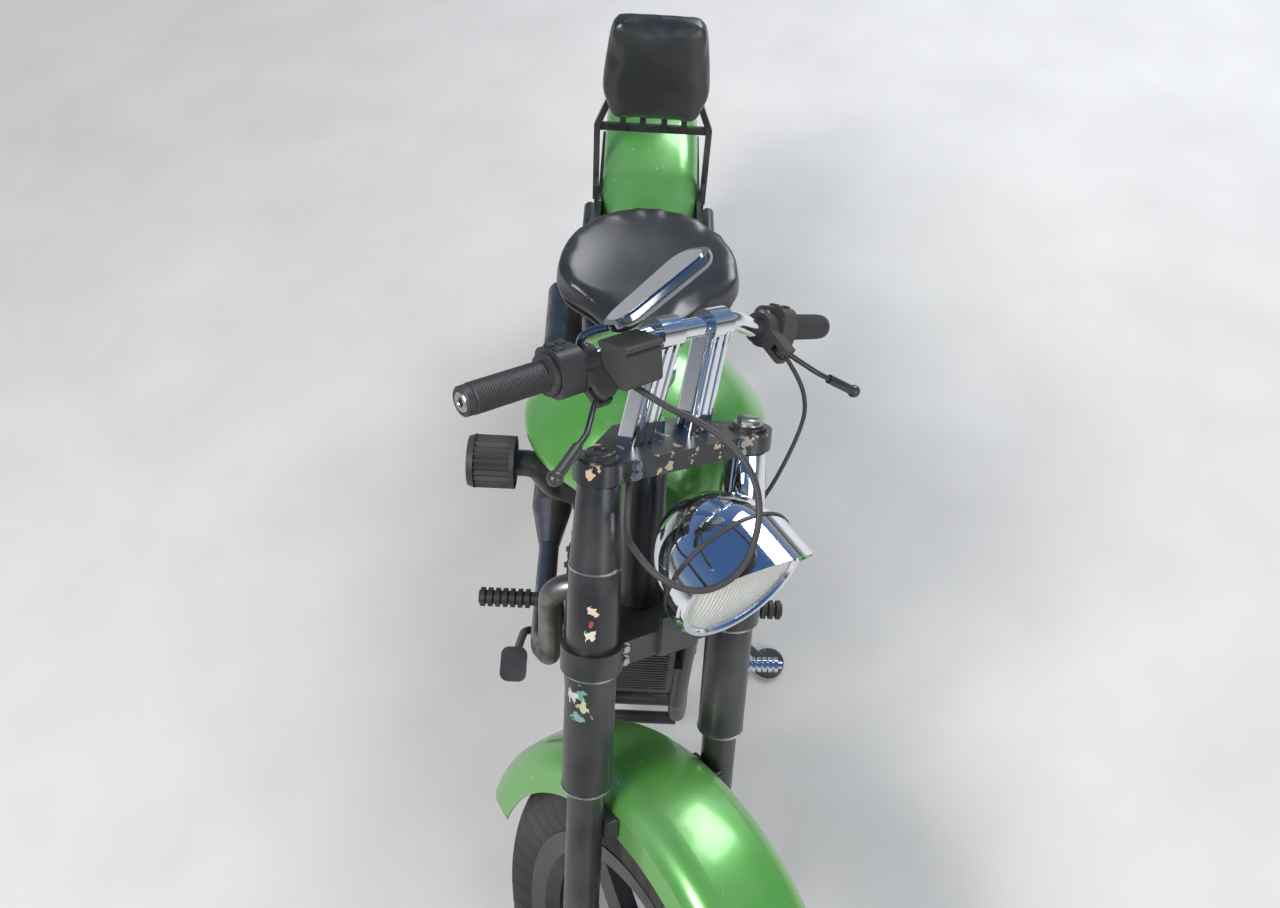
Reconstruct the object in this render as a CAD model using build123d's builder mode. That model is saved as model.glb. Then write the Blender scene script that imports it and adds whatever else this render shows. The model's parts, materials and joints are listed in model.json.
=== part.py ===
from build123d import *
import math
import os

# Solo cruiser motorcycle, parked on its side stand with the steering on its left stop.
# Every piece is modelled on the upright machine: X to the rider's left, Y to the rear, Z up,
# with the front axle over Y = 0. Millimetres and degrees.

# Chassis geometry
RAKE = 33.0
TRAIL = 135.0
WHEELBASE = 1560.0
LEAN = 7.5
STEER_LOCK = 37.0

# Wheels and tyres
RIM_RADIUS = 205.0
RIM_LIP = 20.0
BEAD_DEPTH = 5.0
BEAD_SHARE = 0.72
FRONT_SECTION = 120.0
FRONT_WIDTH = 130.0
REAR_SECTION = 122.0
REAR_WIDTH = 150.0
FLANGE_THICK = 5.0
HUB_OVERHANG = 5.0
HUB_RADIUS = 38.0
SPOKES = 5
SPOKE_WIDTH = 34.0
SPOKE_THICK = 28.0
AXLE_RADIUS = 10.0
RUNNING_GAP = 0.05
SEAT_GAP = 0.3
DISC_RADIUS = 148.0
DISC_THICK = 5.0
DISC_BAND = 34.0
DISC_STAND_OFF = 8.0

# Fork and clamps, with heights measured along the steering axis from the ground
FORK_SPACING = 238.0
LEG_TUBE_RADIUS = 25.0
COVER_RADIUS = 33.0
SLIDER_RADIUS = 25.0
STEM_RADIUS = 15.0
CLAMP_TOP = 1187.0
UPPER_CLAMP_THICK = 26.0
LOWER_CLAMP_TOP = 938.0
LOWER_CLAMP_THICK = 34.0
COVER_TAPER = 1050.0
COVER_END = 722.0
CLAMP_WALL = 7.0

# Handlebar, knocked a little askew on its risers
BAR_HEIGHT = 1330.0
BAR_SET = -58.0
BAR_TWIST = 8.0
BAR_RADIUS = 12.7
BAR_DROP = 42.0
BAR_SWEEP = 27.0
BAR_HALF = 309.0
BAR_BEND_X = 84.0
BAR_SHOULDER = 140.0
GRIP_LENGTH = 112.0
GRIP_RADIUS = 17.5
RISER_SPACING = 90.0
RISER_WIDTH = 36.0
RISER_DEPTH = 40.0
RISER_SET = -32.0

# Front fender
FENDER_HALF = 83.0
FENDER_CLEAR = 48.0
FENDER_SIDE = 74.0
FENDER_SKIN = 2.5

# Headlamp, with its lens turned up a little
LAMP_RADIUS = 86.0
LAMP_SET = -200.0
LAMP_HEIGHT = 1046.0
LAMP_TILT = 9.0
BUCKET_LENGTH = 104.0
LENS_SEAT = 38.0
VISOR_REACH = 48.0

# Frame tubes
CRADLE_HEIGHT = 165.0
CRADLE_X = 112.0
HEAD_TUBE_RADIUS = 29.0
BACKBONE_RADIUS = 24.0
BACKBONE_START = 1085.0
DOWNTUBE_START = 1000.0
TUBE_RADIUS = 16.0
RAIL_RADIUS = 12.0
CRADLE_HALF = 88.0
FRAME_CROSSBARS = (
    # y, z, half length, radius
    (990, 692, 96, 14),
    (1096, 694, 112, 10),
    (448, 300, CRADLE_HALF, 12),
    (470, CRADLE_HEIGHT, 96, 12),
    (900, CRADLE_HEIGHT, CRADLE_X, 12),
    (1018, 250, 104, 14),
)

# Engine
CRANK_Y = 645.0
CRANK_Z = 322.0
CASE_WIDTH = 250.0
CYLINDER_ANGLE = 26.0
CYLINDER_START = 118.0
HEAD_START = 262.0
HEAD_FIN_PITCH = 13.0
FIN_SIDE = 148.0
FIN_THICK = 4.0
FIN_PITCH = 11.0

# Rear end
REAR_FENDER_CLEAR = 108.0
REAR_FENDER_HALF = 96.0
STRUT_THICK = 8.0
SWINGARM_Y = 1020.0
SWINGARM_Z = 305.0
PIVOT_RADIUS = 10.0
ARM_X = 108.0
ARM_RADIUS = 20.0

# Saddle
SEAT_WIDTH = 335.0
SEAT_FRONT = 846.0
SEAT_BACK = 1196.0
SEAT_BASE = 752.0
SEAT_THICK = 48.0

# Foot pegs and their plates
PEG_Y = 632.0
PEG_Z = 312.0
PEG_PLATE_THICK = 8.0

# Side stand
STAND_PIVOT = (162.0, 690.0, 172.0)
STAND_FOOT = (300.0, 650.0)
STAND_STOWED = (34.0, 206.0, 30.0)
STAND_PIN_RADIUS = 8.0
STAND_LEG_RADIUS = 9.0
CLEVIS_RADIUS = 20.0
CLEVIS_REACH = 36.0
CLEVIS_HALF = 24.0
CLEVIS_SLOT = 10.0

os.makedirs("parts", exist_ok=True)

sin_rake = math.sin(math.radians(RAKE))
cos_rake = math.cos(math.radians(RAKE))
BEAD_FOOT = RIM_RADIUS - BEAD_DEPTH
FRONT_RADIUS = BEAD_FOOT + FRONT_SECTION
REAR_RADIUS = BEAD_FOOT + REAR_SECTION
FENDER_RADIUS = FRONT_RADIUS + FENDER_CLEAR
REAR_FENDER_RADIUS = REAR_RADIUS + REAR_FENDER_CLEAR
STRUT_X = REAR_FENDER_HALF + SEAT_GAP
RAIL_X = STRUT_X + STRUT_THICK + SEAT_GAP + RAIL_RADIUS
FORK_OFFSET = FRONT_RADIUS * sin_rake - TRAIL * cos_rake
AXLE_HEIGHT = TRAIL * sin_rake + FRONT_RADIUS * cos_rake
steer_axis = Axis((0, -TRAIL, 0), (0, sin_rake, cos_rake))
pieces = {}


def steer_plane(height, x=0.0, y=0.0):
    """Plane square to the steering axis, its Y pointing back, at a height along the axis."""
    origin = (
        x,
        -TRAIL + y * cos_rake + height * sin_rake,
        -y * sin_rake + height * cos_rake,
    )
    return Plane(origin=origin, x_dir=(1, 0, 0), z_dir=(0, sin_rake, cos_rake))


def steer_point(x, y, height):
    """Point given square to the steering axis, as a point of the upright machine."""
    return tuple(steer_plane(height, x, y).origin)


def steer_vector(x, y, height):
    """Direction given square to the steering axis, as a direction of the upright machine."""
    return Vector(x, y * cos_rake + height * sin_rake, -y * sin_rake + height * cos_rake)


def bar_point(x, y, height):
    """Point on the bar group, which sits a little askew about the steering axis."""
    turn = math.radians(BAR_TWIST)
    return steer_point(x * math.cos(turn) - y * math.sin(turn), x * math.sin(turn) + y * math.cos(turn), height)


def across(x, sign=1):
    """Plane facing left or right at an X station, its axes along the machine and up."""
    return Plane(origin=(x, 0, 0), x_dir=(0, sign, 0), z_dir=(sign, 0, 0))


def round_tube(points, bends, radius, mode=Mode.ADD):
    """Sweep a round bar along runs joined by tangent arcs, in the part being built."""
    with BuildLine() as path:
        FilletPolyline(*points, radius=bends)
    with BuildSketch(Plane(origin=path.line @ 0, z_dir=path.line % 0)) as section:
        Circle(radius)
    sweep(section.sketch, path=path.line, mode=mode)


def bar_between(start, end, radius, mode=Mode.ADD):
    """Straight round bar between two points, in the part being built."""
    run = Vector(*end) - Vector(*start)
    with BuildSketch(Plane(origin=start, z_dir=run)) as section:
        Circle(radius)
    extrude(section.sketch, amount=run.length, mode=mode)


def cone_between(plane, low_radius, high_radius, length):
    """Tapered round bar standing on a plane, in the part being built."""
    foot = (Align.CENTER, Align.CENTER, Align.MIN)
    with Locations(plane):
        if low_radius == high_radius:
            Cylinder(low_radius, length, align=foot)
        else:
            Cone(low_radius, high_radius, length, align=foot)


def flat_bar(points, width, depth):
    """Bar of rectangular section, mitred at its corners, in the part being built."""
    with BuildLine() as path:
        Polyline(*points)
    run = Vector(*points[1]) - Vector(*points[0])
    with BuildSketch(Plane(origin=points[0], x_dir=(1, 0, 0), z_dir=run)) as section:
        Rectangle(width, depth)
    sweep(section.sketch, path=path.line, transition=Transition.RIGHT)


def held_hose(points, radius):
    """Sweep a hose through its points, with each arc as large as its two runs allow."""
    places = [Vector(*place) for place in points]
    radii = []
    for before, corner, after in zip(places, places[1:], places[2:]):
        turn = (corner - before).get_angle(after - corner)
        shorter = min((corner - before).length, (after - corner).length)
        radii.append(0.45 * shorter / math.tan(math.radians(turn / 2)))
    print("hose radii", [round(value) for value in radii])
    round_tube(points, radii, radius)


# Half outline of a tyre from its tread to its bead foot
TYRE_SHAPE = (
    # share of the half width, share of the section's depth below the tread
    (0.30, 0.0),
    (1.015, 0.33),
    (BEAD_SHARE, 1.0),
)


def tyre_corners(radius, width, section):
    """Corners of a tyre's right half: distance from the wheel plane and from the axle."""
    return [(side * width / 2, radius - depth * section) for side, depth in TYRE_SHAPE]


def tyre_low_point(centre, axis, corners):
    """Height of a tyre's lowest corner, from its centre and axle direction."""
    upright = math.sqrt(1 - axis.Z**2)
    return centre.Z - max(height * upright + side * abs(axis.Z) for side, height in corners)


# Parked attitude: the steering turned, the machine leaned, then pitched so both tyres touch
front_corners = tyre_corners(FRONT_RADIUS, FRONT_WIDTH, FRONT_SECTION)
rear_corners = tyre_corners(REAR_RADIUS, REAR_WIDTH, REAR_SECTION)
rear_hub = (0, WHEELBASE, REAR_RADIUS)
front_hub = (0, 0, FRONT_RADIUS)
turned_axle = Vector(1, 0, 0).rotate(Axis((0, 0, 0), (0, sin_rake, cos_rake)), STEER_LOCK)
turned_hub = Vector(*front_hub) - Vector(0, -TRAIL, 0)
turned_hub = turned_hub.rotate(Axis((0, 0, 0), (0, sin_rake, cos_rake)), STEER_LOCK) + Vector(0, -TRAIL, 0)


def lean_over(vector, pitch_angle):
    """Turn a vector from the upright machine by the lean and a pitch angle."""
    return vector.rotate(Axis.Y, LEAN).rotate(Axis.X, pitch_angle)


def tyre_heights(pitch_angle):
    """Lowest points of the front and rear tyres at a pitch angle, before the lift."""
    heights = []
    for hub, axle, corners in (
        (turned_hub, turned_axle, front_corners),
        (Vector(*rear_hub), Vector(1, 0, 0), rear_corners),
    ):
        hub = lean_over(hub, pitch_angle)
        axle = lean_over(axle, pitch_angle)
        heights.append(tyre_low_point(hub, axle, corners))
    return heights


low, high = -5.0, 5.0
for _ in range(50):
    pitch = (low + high) / 2
    front_low, rear_low = tyre_heights(pitch)
    if rear_low > front_low:
        high = pitch
    else:
        low = pitch
LIFT = -rear_low


def park(shape, steered=False):
    """Move a shape from the upright machine to the parked attitude."""
    if steered:
        shape = shape.rotate(steer_axis, STEER_LOCK)
    shape = shape.rotate(Axis.Y, LEAN).rotate(Axis.X, pitch)
    return shape.moved(Location((0, 0, LIFT)))


def keep(builder, node, steered=False):
    """Store a finished piece under its node name, in the parked attitude."""
    placed = park(builder.part, steered)
    placed.label = node
    pieces[node] = placed


# Ground plane as seen from the upright machine, used to trim the stand's foot
ground_normal = Vector(0, 0, 1).rotate(Axis.X, -pitch).rotate(Axis.Y, -LEAN)
ground = Plane(origin=ground_normal * -LIFT, z_dir=ground_normal)


# Tyres and wheels
def make_tyre(centre, corners):
    """Solid ring whose bead faces slope in to the rim."""
    with BuildPart() as tyre:
        with BuildSketch(Plane(origin=centre, x_dir=(1, 0, 0), z_dir=(0, -1, 0))):
            with BuildLine():
                Polyline(*[(-side, height) for side, height in corners], *reversed(corners), close=True)
            make_face()
        revolve(axis=Axis(centre, (1, 0, 0)))
    return tyre


def hub_half(width):
    """Half the hub's length, a little past the tyre's bead."""
    return width * BEAD_SHARE / 2 + HUB_OVERHANG


def rim_outline(corners):
    """Right half of the rim's section: the bead seat, the flared flange and the inner well."""
    (shoulder, shoulder_height), (bead, foot) = corners[1:]
    flare = (shoulder - bead) / (shoulder_height - foot) * (RIM_LIP + BEAD_DEPTH)
    lip = RIM_RADIUS + RIM_LIP
    inner = bead + SEAT_GAP
    return [
        (inner, foot - SEAT_GAP),
        (inner + flare, lip),
        (inner + flare + FLANGE_THICK, lip),
        (inner + FLANGE_THICK, foot - 7),
        (inner - 14, foot - 21),
    ]


def make_wheel(centre, width, corners, disc_side):
    """Cast wheel: rim, hub, tapered spokes and a flange for the disc on one side."""
    half = hub_half(width)
    side = Plane(origin=centre, x_dir=(0, 1, 0), z_dir=(1, 0, 0))
    outline = rim_outline(corners)
    spoke_end = outline[-1][1] + 6
    with BuildPart() as wheel:
        with BuildSketch(Plane(origin=centre, x_dir=(1, 0, 0), z_dir=(0, -1, 0))):
            with BuildLine():
                Polyline(*[(-x, height) for x, height in outline], *reversed(outline), close=True)
            make_face()
        revolve(axis=Axis(centre, (1, 0, 0)))
        with BuildSketch(side.offset(-half)):
            Circle(HUB_RADIUS)
        extrude(amount=2 * half)
        with BuildSketch(side.offset(-SPOKE_THICK / 2)):
            with PolarLocations(0, SPOKES, start_angle=90):
                Polygon(
                    (20, -SPOKE_WIDTH * 0.62),
                    (spoke_end, -SPOKE_WIDTH / 2),
                    (spoke_end, SPOKE_WIDTH / 2),
                    (20, SPOKE_WIDTH * 0.62),
                    align=None,
                )
        extrude(amount=SPOKE_THICK)
        start = half if disc_side > 0 else -half - DISC_STAND_OFF
        with BuildSketch(side.offset(start)):
            Circle(HUB_RADIUS + 8)
        extrude(amount=DISC_STAND_OFF)
        with BuildSketch(side.offset(-half - 10)):
            Circle(AXLE_RADIUS + RUNNING_GAP)
        extrude(amount=2 * half + 20, mode=Mode.SUBTRACT)
    return wheel


def make_disc(centre, offset):
    """Drilled brake disc with its carrier arms, standing off the hub."""
    side = Plane(origin=centre, x_dir=(0, 1, 0), z_dir=(1, 0, 0)).offset(offset)
    with BuildPart() as disc:
        with BuildSketch(side):
            Circle(DISC_RADIUS)
            Circle(DISC_RADIUS - DISC_BAND, mode=Mode.SUBTRACT)
            with PolarLocations(0, 6):
                with Locations(((DISC_RADIUS - DISC_BAND + HUB_RADIUS) / 2, 0)):
                    Rectangle(DISC_RADIUS - DISC_BAND - HUB_RADIUS + 14, 18)
            Circle(HUB_RADIUS + 8)
            Circle(AXLE_RADIUS + 6, mode=Mode.SUBTRACT)
            with PolarLocations(DISC_RADIUS - 11, 18):
                Circle(4, mode=Mode.SUBTRACT)
            with PolarLocations(DISC_RADIUS - 24, 18, start_angle=10):
                Circle(4, mode=Mode.SUBTRACT)
        extrude(amount=DISC_THICK)
    return disc


front_half = hub_half(FRONT_WIDTH)
rear_half = hub_half(REAR_WIDTH)
front_tyre = make_tyre(front_hub, front_corners)
rear_tyre = make_tyre(rear_hub, rear_corners)
front_wheel = make_wheel(front_hub, FRONT_WIDTH, front_corners, 1)
rear_wheel = make_wheel(rear_hub, REAR_WIDTH, rear_corners, -1)
front_disc = make_disc(front_hub, front_half + DISC_STAND_OFF)
rear_disc = make_disc(rear_hub, -rear_half - DISC_STAND_OFF - DISC_THICK)
keep(front_tyre, "front_tyre", True)
keep(front_wheel, "front_wheel", True)
keep(front_disc, "front_brake_disc", True)
keep(rear_tyre, "rear_tyre")
keep(rear_wheel, "rear_wheel")
keep(rear_disc, "rear_brake_disc")

# Axles
with BuildPart() as front_axle:
    with BuildSketch(Plane(origin=front_hub, x_dir=(0, 1, 0), z_dir=(1, 0, 0)).offset(-FORK_SPACING / 2 - 26)):
        Circle(AXLE_RADIUS)
    extrude(amount=FORK_SPACING + 52)
    with BuildSketch(Plane(origin=front_hub, x_dir=(0, 1, 0), z_dir=(1, 0, 0)).offset(FORK_SPACING / 2 + 26)):
        RegularPolygon(15, 6)
    extrude(amount=11)
keep(front_axle, "front_axle", True)

with BuildPart() as rear_axle:
    with BuildSketch(Plane(origin=rear_hub, x_dir=(0, 1, 0), z_dir=(1, 0, 0)).offset(-148)):
        Circle(AXLE_RADIUS)
    extrude(amount=300)
    with BuildSketch(Plane(origin=rear_hub, x_dir=(0, 1, 0), z_dir=(1, 0, 0)).offset(-160)):
        RegularPolygon(16, 6)
    extrude(amount=12)
keep(rear_axle, "rear_axle")

# Fork legs: long painted covers over narrower sliders, each ending in an axle lug
leg_centres = ((-FORK_SPACING / 2, -FORK_OFFSET), (FORK_SPACING / 2, -FORK_OFFSET))
clamp_bottom = CLAMP_TOP - UPPER_CLAMP_THICK
LEG_STAGES = (
    # from, to, lower radius, upper radius
    (AXLE_HEIGHT + 12, COVER_END, SLIDER_RADIUS, SLIDER_RADIUS),
    (AXLE_HEIGHT + 22, AXLE_HEIGHT + 82, SLIDER_RADIUS + 3, SLIDER_RADIUS + 3),
    (COVER_END, COVER_TAPER, COVER_RADIUS, COVER_RADIUS),
    (COVER_TAPER, clamp_bottom - 4, COVER_RADIUS, LEG_TUBE_RADIUS + 1),
    (clamp_bottom - 4, CLAMP_TOP + 3, LEG_TUBE_RADIUS, LEG_TUBE_RADIUS),
    (CLAMP_TOP + 3, CLAMP_TOP + 6, LEG_TUBE_RADIUS - 3, LEG_TUBE_RADIUS - 5),
)
CALIPER_BACK = 57.0
CALIPER_UP = 107.0
CALIPER_HALF = 17.0
LUG_SPREAD = 30.0
disc_face = front_half + DISC_STAND_OFF
caliper_side = disc_face + DISC_THICK + CALIPER_HALF
with BuildPart() as fork_legs:
    for x, y in leg_centres:
        for start, end, low_radius, high_radius in LEG_STAGES:
            cone_between(steer_plane(start, x, y), low_radius, high_radius, end - start)
        with BuildSketch(Plane(origin=(x - 18, 0, FRONT_RADIUS), x_dir=(0, 1, 0), z_dir=(1, 0, 0))):
            Circle(30)
        extrude(amount=36)
        with BuildSketch(Plane(origin=(x - 30, 0, FRONT_RADIUS), x_dir=(0, 1, 0), z_dir=(1, 0, 0))):
            Circle(AXLE_RADIUS + SEAT_GAP)
        extrude(amount=60, mode=Mode.SUBTRACT)
    lug_length = FORK_SPACING / 2 - caliper_side - SEAT_GAP
    for height in (CALIPER_UP - LUG_SPREAD, CALIPER_UP + LUG_SPREAD):
        with BuildSketch(steer_plane(AXLE_HEIGHT + height - 6)):
            with Locations((FORK_SPACING / 2 - lug_length / 2, -FORK_OFFSET + 20)):
                Rectangle(lug_length, 56)
        extrude(amount=12)
keep(fork_legs, "fork_legs", True)


# Clamps that carry the legs
def clamp_outline(leg_radius, half_front):
    """Clamp plan: two round ends joined to the stem boss."""
    for x, y in leg_centres:
        with Locations((x, y)):
            Circle(leg_radius + CLAMP_WALL)
    with BuildLine() as edge:
        Polyline(
            (-FORK_SPACING / 2, -FORK_OFFSET - half_front),
            (FORK_SPACING / 2, -FORK_OFFSET - half_front),
            (FORK_SPACING / 2, -FORK_OFFSET + half_front),
            (STEM_RADIUS + 20, STEM_RADIUS + 16),
            (-STEM_RADIUS - 20, STEM_RADIUS + 16),
            (-FORK_SPACING / 2, -FORK_OFFSET + half_front),
            close=True,
        )
    make_face(edge.line)
    for x, y in leg_centres:
        with Locations((x, y)):
            Circle(leg_radius + 0.1, mode=Mode.SUBTRACT)


with BuildPart() as upper_clamp:
    with BuildSketch(steer_plane(clamp_bottom)):
        clamp_outline(LEG_TUBE_RADIUS, LEG_TUBE_RADIUS + 2)
        Circle(STEM_RADIUS + 0.1, mode=Mode.SUBTRACT)
    extrude(amount=UPPER_CLAMP_THICK)
keep(upper_clamp, "upper_clamp", True)

LOWER_CLAMP_FRONT = 22.0
with BuildPart() as lower_clamp:
    with BuildSketch(steer_plane(LOWER_CLAMP_TOP - LOWER_CLAMP_THICK)):
        clamp_outline(COVER_RADIUS, LOWER_CLAMP_FRONT)
    extrude(amount=LOWER_CLAMP_THICK)
    with BuildSketch(steer_plane(LOWER_CLAMP_TOP)):
        Circle(STEM_RADIUS)
    extrude(amount=CLAMP_TOP + 16 - LOWER_CLAMP_TOP)
keep(lower_clamp, "lower_clamp", True)

# Stem nut on the upper clamp
with BuildPart() as stem_nut:
    with BuildSketch(steer_plane(CLAMP_TOP)):
        RegularPolygon(23, 6)
        Circle(STEM_RADIUS + 0.1, mode=Mode.SUBTRACT)
    extrude(amount=14)
keep(stem_nut, "stem_nut", True)

# Chrome risers, fluted in front, with a split clamp round the bar
bar_along = Vector(*bar_point(1, 0, 0)) - Vector(*bar_point(0, 0, 0))


def riser_section():
    """Plan of a riser: a rounded block with two flutes in its front."""
    RectangleRounded(RISER_WIDTH, RISER_DEPTH, 8)
    for flute in (-6, 6):
        with Locations((flute, -RISER_DEPTH / 2)):
            Rectangle(5, 7, mode=Mode.SUBTRACT)


with BuildPart() as risers:
    for sign in (-1, 1):
        centre_x = sign * RISER_SPACING / 2
        top = bar_point(centre_x, BAR_SET, BAR_HEIGHT)
        with BuildSketch(steer_plane(CLAMP_TOP, centre_x, RISER_SET)):
            riser_section()
        with BuildSketch(Plane(origin=top, x_dir=(1, 0, 0), z_dir=(0, sin_rake, cos_rake))):
            riser_section()
        loft(ruled=True)
        barrel = Plane(origin=Vector(*top) - bar_along * (RISER_WIDTH / 2), z_dir=bar_along)
        with BuildSketch(barrel):
            Circle(RISER_DEPTH / 2 + 1)
        extrude(amount=RISER_WIDTH)
        with BuildSketch(barrel.offset(-RISER_WIDTH / 2)):
            Circle(BAR_RADIUS + 0.1)
        extrude(amount=2 * RISER_WIDTH, mode=Mode.SUBTRACT)
keep(risers, "risers", True)

# Handlebar: a straight middle in the risers, then a drop and a sweep back to each grip
BAR_STATIONS = (
    # x, share of the sweep back, share of the drop
    (BAR_BEND_X, 0.0, 0.0),
    (BAR_SHOULDER, 0.4, 0.45),
    (BAR_HALF, 1.0, 1.0),
)


def bar_line(sign):
    """Points of one side of the bar, from its middle out to its end."""
    return [
        bar_point(sign * x, BAR_SET + back * BAR_SWEEP, BAR_HEIGHT - drop * BAR_DROP)
        for x, back, drop in BAR_STATIONS
    ]


with BuildPart() as handlebar:
    round_tube([*reversed(bar_line(-1)), *bar_line(1)], 60, BAR_RADIUS)
keep(handlebar, "handlebar", True)


def bar_station(sign, inset):
    """Plane across the bar at a distance in from its end, its Y up and its X forward on the left side."""
    shoulder, end = (Vector(*place) for place in bar_line(sign)[1:])
    inwards = (shoulder - end).normalized()
    level = steer_vector(0, 0, 1).cross(inwards)
    return Plane(origin=end + inwards * inset, x_dir=level, z_dir=inwards)


def bar_place(sign, inset, forward, above):
    """Point beside the bar: a distance in from its end, forward of it and above it."""
    return tuple(bar_station(sign, inset).from_local_coords((sign * forward, above, 0)))


# Grips: tapered rubber over each end, with a flange and an end weight
GRIP_END = 9.0
GRIP_STAGES = (
    # from, length, first radius, last radius
    (0, 16, GRIP_RADIUS - 1.5, GRIP_RADIUS - 1.5),
    (16, GRIP_LENGTH - 22, GRIP_RADIUS - 0.5, GRIP_RADIUS + 1.5),
    (GRIP_LENGTH - 6, 6, GRIP_RADIUS + 8, GRIP_RADIUS + 8),
)
with BuildPart() as grips:
    for sign in (-1, 1):
        end_plane = bar_station(sign, -GRIP_END)
        for start, length, first, last in GRIP_STAGES:
            cone_between(end_plane.offset(start), first, last, length)
        with BuildSketch(end_plane.offset(GRIP_END)):
            Circle(BAR_RADIUS + 0.1)
        extrude(amount=GRIP_LENGTH, mode=Mode.SUBTRACT)
        with BuildSketch(end_plane):
            Circle(8)
        extrude(amount=GRIP_END - 1, mode=Mode.SUBTRACT)
keep(grips, "grips", True)

# Switch housings and lever perches clamped inboard of the grips
HOUSING_START = GRIP_LENGTH - GRIP_END + 1
HOUSING_LENGTH = 32.0
PERCH_START = HOUSING_START + HOUSING_LENGTH
PERCH_LENGTH = 26.0
PERCH_DROP = 36.0
EYE_REACH = 44.0
EYE_RADIUS = 9.0
EYE_HALF = 4.0
LEVER_PIN = 3.0


def perch_plane(sign):
    """Plane through a lever's pivot, its X along the perch's arm and its Y inwards along the bar."""
    station = bar_station(sign, PERCH_START + PERCH_LENGTH / 2)
    slope = math.radians(PERCH_DROP)
    arm = station.x_dir * sign * math.cos(slope) - station.y_dir * math.sin(slope)
    return Plane(origin=station.origin, x_dir=arm, z_dir=arm.cross(station.z_dir))


with BuildPart() as control_housings:
    for sign in (-1, 1):
        with BuildSketch(bar_station(sign, HOUSING_START)):
            RectangleRounded(50, 56, 14)
        extrude(amount=HOUSING_LENGTH)
        with BuildSketch(bar_station(sign, PERCH_START)):
            Circle(BAR_RADIUS + 8)
        extrude(amount=PERCH_LENGTH)
        perch = perch_plane(sign)
        with BuildSketch(perch.offset(-12)):
            with Locations((EYE_REACH / 2 + 8, 0)):
                RectangleRounded(EYE_REACH + 4, PERCH_LENGTH - 2, 5)
        extrude(amount=24)
        with BuildSketch(perch.offset(-EYE_HALF - SEAT_GAP)):
            with Locations((EYE_REACH + 7, 0)):
                Rectangle(36, PERCH_LENGTH + 4)
        extrude(amount=2 * (EYE_HALF + SEAT_GAP), mode=Mode.SUBTRACT)
        with BuildSketch(perch.offset(-12)):
            with Locations((EYE_REACH, 0)):
                Circle(LEVER_PIN)
        extrude(amount=24)
        with BuildSketch(bar_station(sign, HOUSING_START - 5)):
            Circle(BAR_RADIUS + 0.1)
        extrude(amount=HOUSING_LENGTH + PERCH_LENGTH + 10, mode=Mode.SUBTRACT)
keep(control_housings, "control_housings", True)

# Brake fluid reservoir beside the right perch, with a cap
RESERVOIR_START = PERCH_START + PERCH_LENGTH + SEAT_GAP
RESERVOIR_LENGTH = 50.0
RESERVOIR_FORWARD = 42.0
RESERVOIR_FOOT = -22.0
with BuildPart() as brake_reservoir:
    station = bar_station(-1, RESERVOIR_START)
    with BuildSketch(station):
        with Locations((-RESERVOIR_FORWARD, RESERVOIR_FOOT + 22)):
            RectangleRounded(46, 44, 8)
    extrude(amount=RESERVOIR_LENGTH)
    with BuildSketch(station.offset(-1)):
        with Locations((-RESERVOIR_FORWARD, RESERVOIR_FOOT + 47)):
            RectangleRounded(50, 8, 3)
    extrude(amount=RESERVOIR_LENGTH + 2)
keep(brake_reservoir, "brake_reservoir", True)

# Levers: curved blades that end in a ball, each held at its eye in the perch
LEVER_ROUTE = (
    # distance in from the bar's end, forward, above
    (100, 68, -50),
    (38, 94, -72),
)
with BuildPart() as levers:
    for sign in (-1, 1):
        perch = perch_plane(sign)
        blade = [bar_place(sign, *place) for place in LEVER_ROUTE]
        eye = perch.from_local_coords((EYE_REACH, -EYE_RADIUS + 1, 0))
        with BuildSketch(perch.offset(-EYE_HALF)):
            with Locations((EYE_REACH, 0)):
                Circle(EYE_RADIUS)
        extrude(amount=2 * EYE_HALF)
        round_tube([tuple(eye), *blade], 24, EYE_HALF - 0.4)
        finger = Vector(*blade[0]) + (Vector(*blade[1]) - Vector(*blade[0])) * 0.3
        bar_between(tuple(finger), blade[1], 6.5)
        with Locations(Plane(origin=blade[1], z_dir=Vector(*blade[1]) - finger)):
            Sphere(9)
        with BuildSketch(perch.offset(-EYE_HALF - 1)):
            with Locations((EYE_REACH, 0)):
                Circle(LEVER_PIN + SEAT_GAP)
        extrude(amount=2 * EYE_HALF + 2, mode=Mode.SUBTRACT)
keep(levers, "levers", True)

# Mirror on a short stem from the right perch, its glass turned up and back
MIRROR_CENTRE = (-80, -96, 1396)
MIRROR_LONG = (0.846, 0.0, 0.533)
MIRROR_FACE = (-0.518, 0.242, 0.821)
MIRROR_LENGTH = 146.0
MIRROR_WIDTH = 78.0
MIRROR_DEPTH = 16.0
mirror_plane = Plane(
    origin=steer_point(*MIRROR_CENTRE), x_dir=steer_vector(*MIRROR_LONG), z_dir=steer_vector(*MIRROR_FACE)
)
with BuildPart() as mirror_shell:
    with BuildSketch(mirror_plane):
        RectangleRounded(MIRROR_LENGTH, MIRROR_WIDTH, 20)
    with BuildSketch(mirror_plane.offset(-MIRROR_DEPTH)):
        RectangleRounded(MIRROR_LENGTH - 30, MIRROR_WIDTH - 26, 18)
    loft()
    with BuildSketch(mirror_plane):
        RectangleRounded(MIRROR_LENGTH - 10, MIRROR_WIDTH - 10, 16)
    extrude(amount=-3, mode=Mode.SUBTRACT)
    stem = bar_station(-1, PERCH_START + PERCH_LENGTH / 2)
    stem_foot = stem.from_local_coords((0, BAR_RADIUS + 8 + SEAT_GAP, 0))
    stem_bend = stem.from_local_coords((0, 32, 0))
    round_tube([stem_foot, stem_bend, mirror_plane.from_local_coords((-50, 0, -MIRROR_DEPTH + 4))], 5, 4)
keep(mirror_shell, "mirror_shell", True)

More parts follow.
